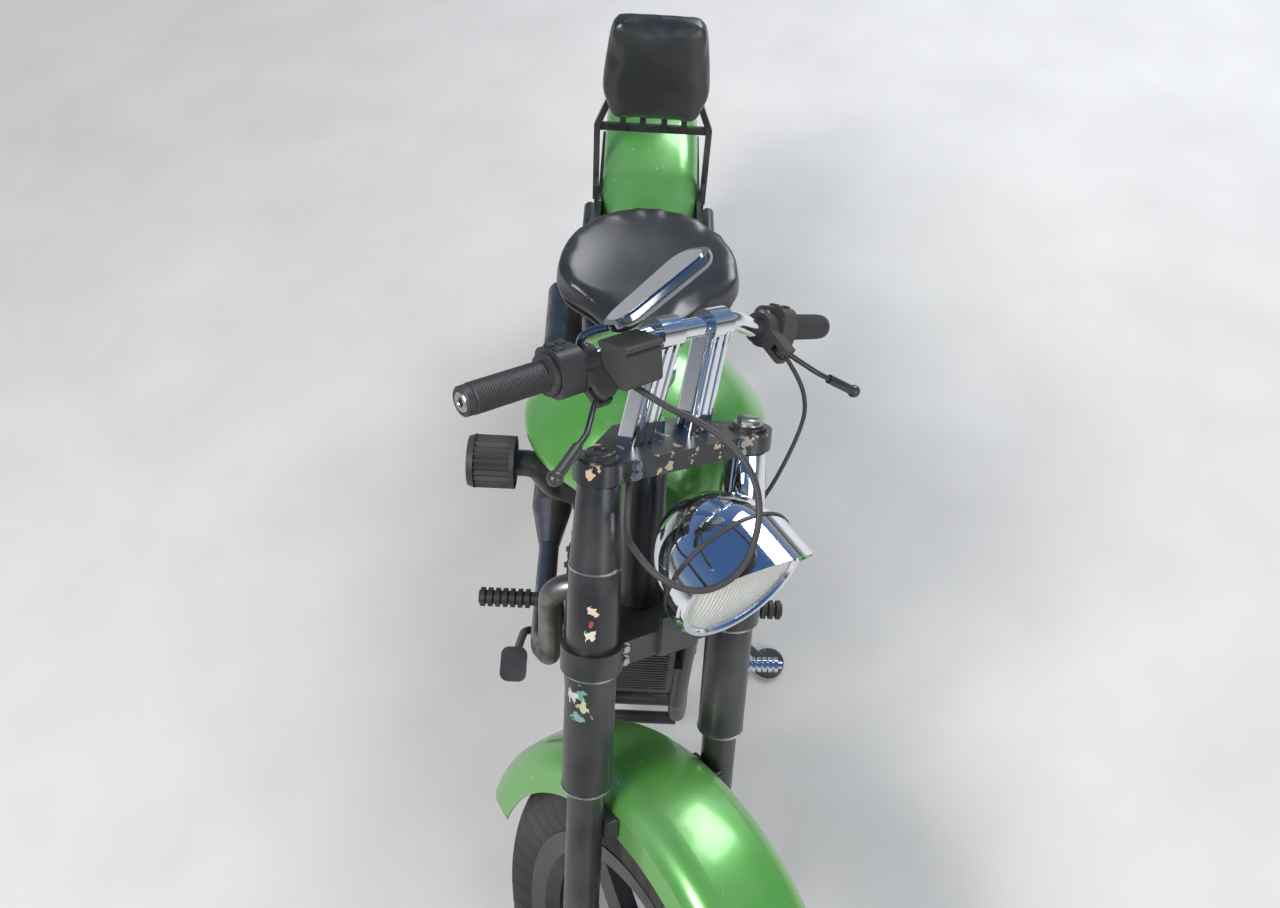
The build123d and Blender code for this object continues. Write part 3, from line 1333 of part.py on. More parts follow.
with BuildPart() as gear_lever:
    cover_face = half_case - 1 + SIDE_COVERS[0][3] + 1
    round_tube([(cover_face + SEAT_GAP, 600, 290), (196, 600, 290), (204, 530, 322), (206, 506, 330)], (18, 30), 7)
    bar_between((198, 508, 330), (276, 508, 334), 7)
    for row in range(6):
        bar_between((212 + row * 10, 508, 330.6 + row * 0.5), (218 + row * 10, 508, 330.9 + row * 0.5), 13)
keep(gear_lever, "gear_lever")

# Side stand: leg from its pivot to a foot trimmed flat to the ground
with BuildPart() as side_stand:
    leg = (foot - pivot).normalized()
    bar_between(tuple(pivot + leg * 12), tuple(foot), STAND_LEG_RADIUS)
    with BuildSketch(clevis.offset(-CLEVIS_SLOT + SEAT_GAP)):
        Circle(CLEVIS_RADIUS - 1)
    extrude(amount=2 * (CLEVIS_SLOT - SEAT_GAP))
    with BuildSketch(clevis.offset(-CLEVIS_SLOT - 1)):
        Circle(STAND_PIN_RADIUS + RUNNING_GAP)
    extrude(amount=2 * CLEVIS_SLOT + 2, mode=Mode.SUBTRACT)
    with BuildSketch(Plane(origin=foot + ground_normal * 12, z_dir=ground_normal)):
        Circle(32)
    extrude(amount=-40)
    split(bisect_by=ground, keep=Keep.TOP)
keep(side_stand, "side_stand")

# Origin under the middle of the whole machine, on the ground
boxes = [piece.bounding_box() for piece in pieces.values()]
shift = Vector(
    -(min(box.min.X for box in boxes) + max(box.max.X for box in boxes)) / 2,
    -(min(box.min.Y for box in boxes) + max(box.max.Y for box in boxes)) / 2,
    0,
)
for node, piece in pieces.items():
    placed = piece.moved(Location(shift))
    placed.label = node
    export_step(placed, f"parts/{node}.step")
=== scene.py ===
"""Solo cruiser motorcycle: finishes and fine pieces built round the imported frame, in metres."""

from __future__ import annotations

import json
import logging
import math
from collections.abc import Callable
from dataclasses import dataclass, replace
from enum import Enum

import bpy
from mathutils import Matrix, Vector


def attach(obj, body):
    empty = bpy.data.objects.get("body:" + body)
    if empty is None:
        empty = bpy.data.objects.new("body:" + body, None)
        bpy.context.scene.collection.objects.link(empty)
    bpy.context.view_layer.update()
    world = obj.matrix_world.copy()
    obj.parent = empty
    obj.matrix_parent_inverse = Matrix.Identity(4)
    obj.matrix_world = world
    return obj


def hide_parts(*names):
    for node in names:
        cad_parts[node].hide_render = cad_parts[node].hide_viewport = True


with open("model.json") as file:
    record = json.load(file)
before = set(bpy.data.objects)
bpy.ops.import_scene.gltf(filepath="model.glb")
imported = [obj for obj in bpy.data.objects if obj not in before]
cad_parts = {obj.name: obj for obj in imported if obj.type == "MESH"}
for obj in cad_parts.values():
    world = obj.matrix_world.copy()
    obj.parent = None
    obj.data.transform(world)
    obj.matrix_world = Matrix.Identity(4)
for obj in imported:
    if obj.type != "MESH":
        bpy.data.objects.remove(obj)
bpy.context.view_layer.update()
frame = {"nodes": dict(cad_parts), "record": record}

logging.basicConfig(level=logging.INFO, format="%(message)s")
log = logging.getLogger("cruiser")

Colour = tuple[float, float, float]
Point = tuple[float, float, float]

ORIGIN = (0.0, 0.0, 0.0)


class Graph:
    """A node tree being wired: a material's own tree or a shader node group."""

    def __init__(self, tree: bpy.types.NodeTree) -> None:
        """Start from an empty tree.

        Args:
            tree: The node tree that the nodes are added to.
        """
        self.tree = tree
        tree.nodes.clear()

    def node(self, kind: str, inputs: dict | None = None, **settings: object) -> bpy.types.Node:
        """Add a node, set its properties and feed its inputs.

        Args:
            kind: The node's Blender type name without the ShaderNode prefix, or a full type name.
            inputs: Values or output sockets, by input name or number.
            settings: Properties of the node itself.

        Returns:
            The new node.
        """
        full = kind if kind.startswith("Node") else f"ShaderNode{kind}"
        made = self.tree.nodes.new(full)
        for name, value in settings.items():
            setattr(made, name, value)
        for name, value in (inputs or {}).items():
            self.feed(made.inputs[name], value)
        return made

    def feed(self, socket: bpy.types.NodeSocket, value: object) -> None:
        """Link an output socket to an input, or set the input's plain value.

        Args:
            socket: The input socket.
            value: An output socket, a number, a vector or a colour.
        """
        if isinstance(value, bpy.types.NodeSocket):
            self.tree.links.new(value, socket)
        elif socket.type == "RGBA" and len(value) == 3:
            socket.default_value = (*value, 1.0)
        else:
            socket.default_value = value

    def maths(self, operation: str, *values: object) -> bpy.types.NodeSocket:
        """Result of a Math node on the given values."""
        made = self.node("Math", dict(enumerate(values)), operation=operation)
        return made.outputs[0]

    def mix(self, factor: object, first: object, second: object) -> bpy.types.NodeSocket:
        """Colour mixed from two by a factor."""
        made = self.node("Mix", {0: factor, 6: first, 7: second}, data_type="RGBA")
        return made.outputs[2]

    def noise(self, vector: object, scale: object, detail: float = 2.0) -> bpy.types.NodeSocket:
        """Noise of a scale at a place."""
        return self.node("TexNoise", {"Vector": vector, "Scale": scale, "Detail": detail}).outputs[0]

    def share(self, value: object, low: float, high: float) -> bpy.types.NodeSocket:
        """How far a value has come from low to high, held between 0 and 1."""
        return self.node("MapRange", {0: value, 1: low, 2: high}).outputs[0]

    def along(self, vector: object, way: object) -> bpy.types.NodeSocket:
        """Length of a vector along a direction."""
        return self.node("VectorMath", {0: vector, 1: way}, operation="DOT_PRODUCT").outputs["Value"]

    def relief(self, shader: bpy.types.Node, height: object, strength: float, depth: float) -> None:
        """Bump a shader's surface.

        Args:
            shader: The shader.
            height: The height, from 0 to 1.
            strength: How strongly it shows.
            depth: The depth of the relief in metres.
        """
        bump = self.node("Bump", {"Strength": strength, "Distance": depth, "Height": height})
        self.feed(shader.inputs["Normal"], bump.outputs[0])

    def ramp(self, factor: object, *stops: tuple[float, Colour]) -> bpy.types.NodeSocket:
        """Colour read from a ramp with the given stops."""
        made = self.node("ValToRGB", {0: factor})
        elements = made.color_ramp.elements
        while len(elements) < len(stops):
            elements.new(1.0)
        for element, (place, colour) in zip(elements, stops):
            element.position = place
            element.color = (*colour, 1.0)
        return made.outputs[0]


def grey(level: float) -> Colour:
    """Neutral colour of one level."""
    return (level, level, level)


def pick(*pieces: bpy.types.Object) -> None:
    """Select only some pieces, the first of them active.

    Args:
        pieces: The pieces to select.
    """
    bpy.ops.object.select_all(action="DESELECT")
    for piece in pieces:
        piece.select_set(True)
    bpy.context.view_layer.objects.active = pieces[0]


def placed(name: str, data: bpy.types.ID) -> bpy.types.Object:
    """Put an object with some data in the scene.

    Args:
        name: The object's name.
        data: Its mesh, curve, lamp or camera.

    Returns:
        The new object, at the origin.
    """
    made = bpy.data.objects.new(name, data)
    bpy.context.scene.collection.objects.link(made)
    return made


def modify(piece: bpy.types.Object, kind: str, **settings: object) -> None:
    """Apply a modifier to the active piece.

    Args:
        piece: The active piece.
        kind: The modifier's type.
        settings: The modifier's own properties.
    """
    bpy.ops.object.modifier_add(type=kind)
    modifier = piece.modifiers[-1]
    for label, value in settings.items():
        setattr(modifier, label, value)
    bpy.ops.object.modifier_apply(modifier=modifier.name)


class Body(Enum):
    """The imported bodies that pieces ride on."""

    CHASSIS = "chassis"
    STEERING = "steering"
    FRONT_WHEEL = "front_wheel"
    REAR_WHEEL = "rear_wheel"


@dataclass(frozen=True)
class Station:
    """Three axes and an origin in metres, read with places in millimetres."""

    origin: Vector
    first: Vector
    second: Vector
    third: Vector

    def at(self, x: float, y: float, z: float) -> Vector:
        """Place of a local point."""
        return self.origin + self.way(x, y, z) / 1000

    def way(self, x: float, y: float, z: float) -> Vector:
        """Local direction, turned but not placed."""
        return self.first * x + self.second * y + self.third * z

    def matrix(self, x: float = 0.0, y: float = 0.0, z: float = 0.0) -> Matrix:
        """Transform to this station's axes at a local point."""
        turn = Matrix((self.first, self.second, self.third)).transposed().to_4x4()
        return Matrix.Translation(self.at(x, y, z)) @ turn


class Rig:
    """Axes of the parked machine, worked out from its joints."""

    RAKE = math.radians(33)
    TRAIL = 0.135
    BAR_END = (309.0, -31.0, 1288.0)
    BAR_SHOULDER = (140.0, -47.2, 1311.1)
    PERCH_INSET = 149.0
    TWIST = math.radians(8)
    LAMP_TILT = math.radians(9)
    LAMP_MIDDLE = (0.0, -200.0, 1046.0)
    LAMP_BACK = 0.038

    def __init__(self) -> None:
        """Read the joints and set up the chassis and steering stations."""
        joints = {joint["name"]: joint for joint in frame["record"]["behaviour"]["joints"]}
        foot = Vector(joints["steering"]["pos_m"])
        stem = Vector(joints["steering"]["axis"]).normalized()
        side = Vector(joints["rear_wheel_spin"]["axis"]).normalized()
        turned = Vector(joints["front_wheel_spin"]["axis"]).normalized()
        ahead = side.cross(stem)
        rearward = stem * math.sin(self.RAKE) - ahead * math.cos(self.RAKE)
        upward = stem * math.cos(self.RAKE) + ahead * math.sin(self.RAKE)
        self.chassis = Station(foot + rearward * self.TRAIL, side, rearward, upward)
        self.steering = Station(foot, turned, stem.cross(turned), stem)
        self.hubs = {
            Body.FRONT_WHEEL: (Vector(joints["front_wheel_spin"]["pos_m"]), turned),
            Body.REAR_WHEEL: (Vector(joints["rear_wheel_spin"]["pos_m"]), side),
        }

    def bar(self, x: float, y: float, height: float) -> Vector:
        """Place of a point on the bar group, which sits askew about the steering axis."""
        cos, sin = math.cos(self.TWIST), math.sin(self.TWIST)
        return self.steering.at(x * cos - y * sin, x * sin + y * cos, height)

    def across_bar(self, sign: int, inset: float) -> Station:
        """Station across the bar at a distance in from its end.

        Args:
            sign: 1 for the left side, -1 for the right.
            inset: Distance in from the end, in millimetres.

        Returns:
            The station: forward on the left side, up, and inwards along the bar.
        """
        (end_x, *end), (shoulder_x, *shoulder) = self.BAR_END, self.BAR_SHOULDER
        tip = self.bar(sign * end_x, *end)
        inwards = (self.bar(sign * shoulder_x, *shoulder) - tip).normalized()
        level = self.steering.third.cross(inwards).normalized()
        return Station(tip + inwards * inset / 1000, level, inwards.cross(level), inwards)

    def lamp(self) -> Station:
        """Station of the lamp's base, its third axis along the beam."""
        droop = self.RAKE - self.LAMP_TILT
        beam = self.steering.way(0, -math.cos(droop), -math.sin(droop))
        rise = self.steering.way(0, -math.sin(droop), math.cos(droop))
        centre = self.steering.at(*self.LAMP_MIDDLE) - beam * self.LAMP_BACK
        return Station(centre, self.steering.first, rise, beam)


class Effects:
    """Shader node groups shared by the finishes."""

    def __init__(self) -> None:
        """Build each group once."""
        self.mottle = self.build_mottle()
        self.grain = self.build_grain()
        self.chips = self.build_chips()
        self.spot = self.build_spot()
        self.tread = self.build_tread()

    @staticmethod
    def new_group(
        name: str, inputs: dict[str, float | tuple[float, ...]], *outputs: str
    ) -> tuple[Graph, bpy.types.NodeOutputs, bpy.types.NodeInputs]:
        """Start a group with named sockets.

        Args:
            name: The group's name.
            inputs: Default by input name: a number, a vector of three or a colour of four.
            outputs: Names of the outputs, of which Color is a colour and any other a number.

        Returns:
            The graph, the sockets of what it is given and the sockets of what it gives.
        """
        tree = bpy.data.node_groups.new(name, "ShaderNodeTree")
        graph = Graph(tree)
        for label, default in inputs.items():
            kind = "Float" if isinstance(default, float) else {3: "Vector", 4: "Color"}[len(default)]
            socket = tree.interface.new_socket(label, in_out="INPUT", socket_type=f"NodeSocket{kind}")
            socket.default_value = default
        for label in outputs:
            kind = "Color" if label == "Color" else "Float"
            tree.interface.new_socket(label, in_out="OUTPUT", socket_type=f"NodeSocket{kind}")
        return graph, graph.node("NodeGroupInput").outputs, graph.node("NodeGroupOutput").inputs

    def build_mottle(self) -> bpy.types.NodeTree:
        """Slow colour and roughness variation, as dust and handling leave."""
        graph, given, result = self.new_group(
            "SurfaceMottle",
            {
                "Vector": ORIGIN, "Clean": (0.5, 0.5, 0.5, 1.0), "Soiled": (0.3, 0.3, 0.3, 1.0), "Scale": 8.0,
                "Amount": 0.5, "Smooth": 0.2, "Rough": 0.5,
            },
            "Color", "Roughness",
        )
        noise = graph.noise(given["Vector"], given["Scale"], 6.0)
        mask = graph.ramp(noise, (0.38, grey(0.0)), (0.68, grey(1.0)))
        factor = graph.maths("MULTIPLY", mask, given["Amount"])
        rough = graph.node("MapRange", {0: factor, 3: given["Smooth"], 4: given["Rough"]})
        graph.feed(result["Color"], graph.mix(factor, given["Clean"], given["Soiled"]))
        graph.feed(result["Roughness"], rough.outputs[0])
        return graph.tree

    def build_grain(self) -> bpy.types.NodeTree:
        """Height of a pebbled grain, from cells with soft edges over fine noise."""
        graph, given, result = self.new_group(
            "PebbleGrain", {"Vector": ORIGIN, "Scale": 400.0, "Fine": 0.3}, "Height"
        )
        place, scale = given["Vector"], given["Scale"]
        cells = graph.node("TexVoronoi", {"Vector": place, "Scale": scale}, feature="SMOOTH_F1")
        fine = graph.maths("MULTIPLY", graph.noise(place, graph.maths("MULTIPLY", scale, 2.5)), given["Fine"])
        graph.feed(result["Height"], graph.maths("ADD", cells.outputs["Distance"], fine))
        return graph.tree

    def build_chips(self) -> bpy.types.NodeTree:
        """Mask of small flaked patches, where paint has come off in spots."""
        graph, given, result = self.new_group("PaintChips", {"Vector": ORIGIN, "Scale": 30.0, "Spread": 0.72}, "Mask")
        place, scale = given["Vector"], given["Scale"]
        broad = graph.noise(place, scale, 3.0)
        ragged = graph.noise(place, graph.maths("MULTIPLY", scale, 7.0))
        lift = graph.maths("MULTIPLY_ADD", ragged, 0.12, broad)
        edge = graph.maths("SUBTRACT", lift, given["Spread"])
        graph.feed(result["Mask"], graph.share(edge, 0.0, 0.006))
        return graph.tree

    def build_spot(self) -> bpy.types.NodeTree:
        """Mask of one scraped patch with a ragged edge, round a place on the piece."""
        graph, given, result = self.new_group(
            "ScrapedSpot", {"Vector": ORIGIN, "Centre": ORIGIN, "Reach": 0.01}, "Mask"
        )
        away = graph.node("VectorMath", {0: given["Vector"], 1: given["Centre"]}, operation="DISTANCE")
        ragged = graph.maths("MULTIPLY_ADD", graph.noise(given["Vector"], 120.0, 4.0), 0.035, -0.0175)
        edge = graph.maths("ADD", graph.maths("SUBTRACT", given["Reach"], away.outputs["Value"]), ragged)
        graph.feed(result["Mask"], graph.share(edge, 0.0, 0.0006))
        return graph.tree

    def build_tread(self) -> bpy.types.NodeTree:
        """Height of slanted grooves that repeat round an axle, from a point's turn and side."""
        graph, given, result = self.new_group(
            "TreadGrooves",
            {
                "Offset": ORIGIN, "Axle": (1.0, 0.0, 0.0), "Ahead": (0.0, 1.0, 0.0), "Above": (0.0, 0.0, 1.0),
                "Count": 46.0, "Slant": 60.0,
            },
            "Height",
        )
        side, ahead, above = (graph.along(given["Offset"], given[way]) for way in ("Axle", "Ahead", "Above"))
        turn = graph.maths("MULTIPLY", graph.maths("ARCTAN2", ahead, above), given["Count"])
        slant = graph.maths("MULTIPLY", graph.maths("ABSOLUTE", side), given["Slant"])
        ridge = graph.maths("SINE", graph.maths("ADD", turn, slant))
        graph.feed(result["Height"], graph.share(ridge, -0.95, -0.7))
        return graph.tree


@dataclass(frozen=True)
class Finish:
    """A surface finish: how one family of pieces looks."""

    name: str
    clean: Colour
    soiled: Colour
    metallic: float = 0.0
    smooth: float = 0.3
    rough: float = 0.5
    mottle_scale: float = 8.0
    mottle_amount: float = 0.5
    coat: float = 0.0
    coat_roughness: float = 0.05
    grain_scale: float = 0.0
    grain_depth: float = 0.0
    chip_scale: float = 0.0
    chip_spread: float = 0.75
    chip_colour: Colour = (0.35, 0.33, 0.3)
    spots: tuple[tuple[Point, float, Colour], ...] = ()
    flute: Point | None = None
    flute_pitch: float = 0.0
    flute_depth: float = 0.0012
    tread_depth: float = 0.004
    axle: tuple[Point, Point, Point, Point] | None = None
    slot: str = ""

    def build(self, effects: Effects) -> bpy.types.Material:
        """Make the material.

        Args:
            effects: The shared node groups.

        Returns:
            The finished material.
        """
        material = bpy.data.materials.new(self.name)
        material.use_nodes = True
        graph = Graph(material.node_tree)
        place = graph.node("TexCoord").outputs["Object"]
        mottle = graph.node(
            "Group",
            {
                "Vector": place, "Clean": self.clean, "Soiled": self.soiled, "Scale": self.mottle_scale,
                "Amount": self.mottle_amount, "Smooth": self.smooth, "Rough": self.rough,
            },
            node_tree=effects.mottle,
        )
        colour = mottle.outputs["Color"]
        shader = graph.node(
            "BsdfPrincipled",
            {"Metallic": self.metallic, "Coat Weight": self.coat, "Coat Roughness": self.coat_roughness},
        )
        if self.chip_scale:
            flakes = {"Vector": place, "Scale": self.chip_scale, "Spread": self.chip_spread}
            chips = graph.node("Group", flakes, node_tree=effects.chips)
            colour = graph.mix(chips.outputs["Mask"], colour, self.chip_colour)
        for centre, reach, tint in self.spots:
            patch = {"Vector": place, "Centre": centre, "Reach": reach}
            spot = graph.node("Group", patch, node_tree=effects.spot)
            colour = graph.mix(spot.outputs["Mask"], colour, tint)
        graph.feed(shader.inputs["Base Color"], colour)
        graph.feed(shader.inputs["Roughness"], mottle.outputs["Roughness"])
        if self.grain_scale:
            grain = graph.node("Group", {"Vector": place, "Scale": self.grain_scale}, node_tree=effects.grain)
            graph.relief(shader, grain.outputs[0], 0.6, self.grain_depth)
        if self.flute:
            across = graph.along(place, self.flute)
            ridges = graph.maths("SINE", graph.maths("MULTIPLY", across, 2 * math.pi / self.flute_pitch))
            graph.relief(shader, ridges, 0.8, self.flute_depth)
        if self.axle:
            hub, axle, ahead, above = self.axle
            offset = graph.node("VectorMath", {0: place, 1: hub}, operation="SUBTRACT").outputs["Vector"]
            axes = {"Offset": offset, "Axle": axle, "Ahead": ahead, "Above": above}
            tread = graph.node("Group", axes, node_tree=effects.tread)
            graph.relief(shader, tread.outputs[0], 1.0, self.tread_depth)
        graph.node("OutputMaterial", {"Surface": shader.outputs[0]})
        return material


class Paint(Enum):
    """The finishes, one for each material of the machine."""

    GREEN = Finish(
        "green_paint", (0.105, 0.36, 0.065), (0.19, 0.4, 0.17), metallic=0.35, smooth=0.28, rough=0.46,
        mottle_scale=9.0, mottle_amount=0.6, coat=0.7, coat_roughness=0.13, grain_scale=2600.0, grain_depth=0.00004,
        chip_scale=75.0, chip_spread=0.77, chip_colour=(0.36, 0.42, 0.28),
    )
    BLACK = Finish(
        "black_paint", (0.018, 0.019, 0.02), (0.06, 0.058, 0.052), smooth=0.32, rough=0.6,
        mottle_scale=14.0, mottle_amount=0.6, coat=0.25, coat_roughness=0.25, chip_scale=26.0, chip_spread=0.8,
    )
    CASTING = Finish(
        "black_casting", (0.03, 0.03, 0.031), (0.09, 0.085, 0.075), smooth=0.5, rough=0.75,
        grain_scale=900.0, grain_depth=0.00015,
    )
    CHROME = Finish(
        "chrome", (0.82, 0.84, 0.87), (0.7, 0.7, 0.69), metallic=1.0, smooth=0.03, rough=0.16, mottle_amount=0.4,
    )
    DARK_CHROME = Finish(
        "dark_chrome", (0.3, 0.32, 0.35), (0.22, 0.22, 0.22), metallic=1.0, smooth=0.08, rough=0.24, slot="chrome",
    )
    PIPE = Finish(
        "stained_pipe", (0.3, 0.29, 0.27), (0.11, 0.1, 0.085), metallic=1.0, smooth=0.34, rough=0.62,
        mottle_scale=16.0, mottle_amount=0.9, grain_scale=500.0, grain_depth=0.00008,
    )
    CLAMP = replace(
        BLACK, name="chipped_clamp", smooth=0.3, rough=0.55, chip_scale=46.0, chip_spread=0.672,
        chip_colour=(0.5, 0.37, 0.27),
    )
    STEEL = Finish(
        "bare_steel", (0.5, 0.49, 0.47), (0.3, 0.27, 0.24), metallic=1.0, smooth=0.25, rough=0.5,
        mottle_scale=20.0,
    )
    GRIP = Finish(
        "grip_rubber", (0.028, 0.028, 0.029), (0.09, 0.085, 0.08), smooth=0.5, rough=0.75,
        grain_scale=700.0, grain_depth=0.0001,
    )
    TYRE = Finish(
        "tyre_rubber", (0.02, 0.02, 0.02), (0.1, 0.09, 0.078), smooth=0.6, rough=0.85, grain_scale=500.0,
        grain_depth=0.0001,
    )
    HIDE = Finish(
        "seat_hide", (0.022, 0.023, 0.025), (0.06, 0.06, 0.058), smooth=0.3, rough=0.46, grain_scale=330.0,
        grain_depth=0.00018, coat=0.15, coat_roughness=0.3,
    )
    LENS = Finish("lens_glass", (0.62, 0.62, 0.58), (0.5, 0.47, 0.42), smooth=0.08, rough=0.25, coat=1.0)
    RED = Finish("red_lens", (0.55, 0.02, 0.03), (0.4, 0.05, 0.05), smooth=0.1, rough=0.3, coat=1.0)
    MIRROR = Finish("mirror_face", (0.86, 0.88, 0.9), (0.6, 0.6, 0.6), metallic=1.0, smooth=0.01, rough=0.1)


@dataclass
class Studio:
    """Pale floor, soft lamps and the photograph's viewpoint."""

    eye: Point = (0.14522, -1.16897, 2.024)
    yaw: float = -7.85
    pitch: float = 52.07
    roll: float = -7.95
    focal_px: float = 1039.6
    photo_width: float = 1280.0
    sensor: float = 36.0
    floor_half: float = 14.0
    fade_from: float = 2.5
    fade_to: float = 8.0
    pale: float = 0.82
    dim: float = 0.55
    aim: Point = (0.0, 0.0, 0.6)

    def place_camera(self) -> bpy.types.Object:
        """Put the camera where the photograph was taken from."""
        yaw, pitch, roll = (math.radians(a) for a in (self.yaw, self.pitch, self.roll))
        ahead = Vector((math.sin(yaw) * math.cos(pitch), math.cos(yaw) * math.cos(pitch), -math.sin(pitch)))
        right = ahead.cross(Vector((0, 0, 1))).normalized()
        up = right.cross(ahead)
        rolled_right = right * math.cos(roll) + up * math.sin(roll)
        rolled_up = up * math.cos(roll) - right * math.sin(roll)
        turn = Matrix((rolled_right, rolled_up, -ahead)).transposed()
        lens = bpy.data.cameras.new("viewpoint")
        lens.sensor_width = self.sensor
        lens.lens = self.focal_px / self.photo_width * self.sensor
        camera = placed("viewpoint", lens)
        camera.matrix_world = Matrix.Translation(self.eye) @ turn.to_4x4()
        bpy.context.scene.camera = camera
        return camera

    def lay_floor(self) -> None:
        """Lay the pale floor under the machine."""
        bpy.ops.object.select_all(action="DESELECT")
        bpy.ops.mesh.primitive_plane_add(size=2 * self.floor_half)
        floor = bpy.context.object
        floor.name = "floor"
        material = bpy.data.materials.new("floor")
        material.use_nodes = True
        graph = Graph(material.node_tree)
        place = graph.node("TexCoord").outputs["Object"]
        colour = graph.ramp(graph.noise(place, 3.0, 5.0), (0.3, grey(0.56)), (0.7, grey(0.62)))
        shader = graph.node("BsdfPrincipled", {"Base Color": colour, "Roughness": 0.85})
        far = graph.node("VectorMath", {0: place}, operation="LENGTH").outputs["Value"]
        fade = graph.share(far, self.fade_from, self.fade_to)
        seen = graph.maths("MULTIPLY", fade, graph.node("LightPath").outputs["Is Camera Ray"])
        pale = graph.node("Emission", {"Color": grey(self.pale), "Strength": 1.0})
        ground = graph.node("MixShader", {0: seen, 1: shader.outputs[0], 2: pale.outputs[0]})
        graph.node("OutputMaterial", {"Surface": ground.outputs[0]})
        floor.data.materials.append(material)

    def add_lamp(self, name: str, place: Point, power: float, size: float, tint: Colour) -> None:
        """Hang a square soft lamp that faces the machine.

        Args:
            name: The lamp's name.
            place: Where it hangs.
            power: Its power in watts.
            size: The length of its side.
            tint: Its colour.
        """
        data = bpy.data.lights.new(name, "AREA")
        data.energy = power
        data.size = size
        data.color = tint
        aim = Vector(self.aim) - Vector(place)
        turn = aim.to_track_quat("-Z", "Y").to_matrix().to_4x4()
        placed(name, data).matrix_world = Matrix.Translation(place) @ turn

    def light(self) -> None:
        """Set the world and the lamps."""
        world = bpy.data.worlds.new("studio")
        bpy.context.scene.world = world
        world.use_nodes = True
        graph = Graph(world.node_tree)
        way = graph.node("TexCoord").outputs["Generated"]
        height = graph.node("SeparateXYZ", {0: way}).outputs["Z"]
        plain = graph.ramp(height, (0.0, grey(0.42)), (0.12, grey(0.78)), (0.9, (0.68, 0.72, 0.78)))
        mirrored = graph.ramp(
            height, (0.0, grey(0.2)), (0.04, (0.62, 0.68, 0.74)), (0.2, (0.26, 0.42, 0.74)), (0.8, (0.1, 0.22, 0.52))
        )
        rays = graph.node("LightPath").outputs
        lit = graph.mix(rays["Is Glossy Ray"], plain, mirrored)
        colour = graph.mix(rays["Is Camera Ray"], lit, grey(self.pale))
        strength = graph.maths("MULTIPLY_ADD", rays["Is Camera Ray"], 1.0 - self.dim, self.dim)
        sky = graph.node("Background", {"Color": colour, "Strength": strength})
        graph.node("OutputWorld", {"Surface": sky.outputs[0]})
        self.add_lamp("key", (-2.2, -2.6, 4.2), 190.0, 1.6, (1.0, 0.98, 0.95))
        self.add_lamp("rear", (2.4, 3.2, 3.6), 170.0, 2.4, (0.96, 0.98, 1.0))
        self.add_lamp("front", (2.6, -3.2, 2.2), 60.0, 2.2, (1.0, 1.0, 1.0))

    def build(self) -> None:
        """Set up the whole stage."""
        bpy.context.scene.view_settings.view_transform = "Standard"
        self.place_camera()
        self.lay_floor()
        self.light()


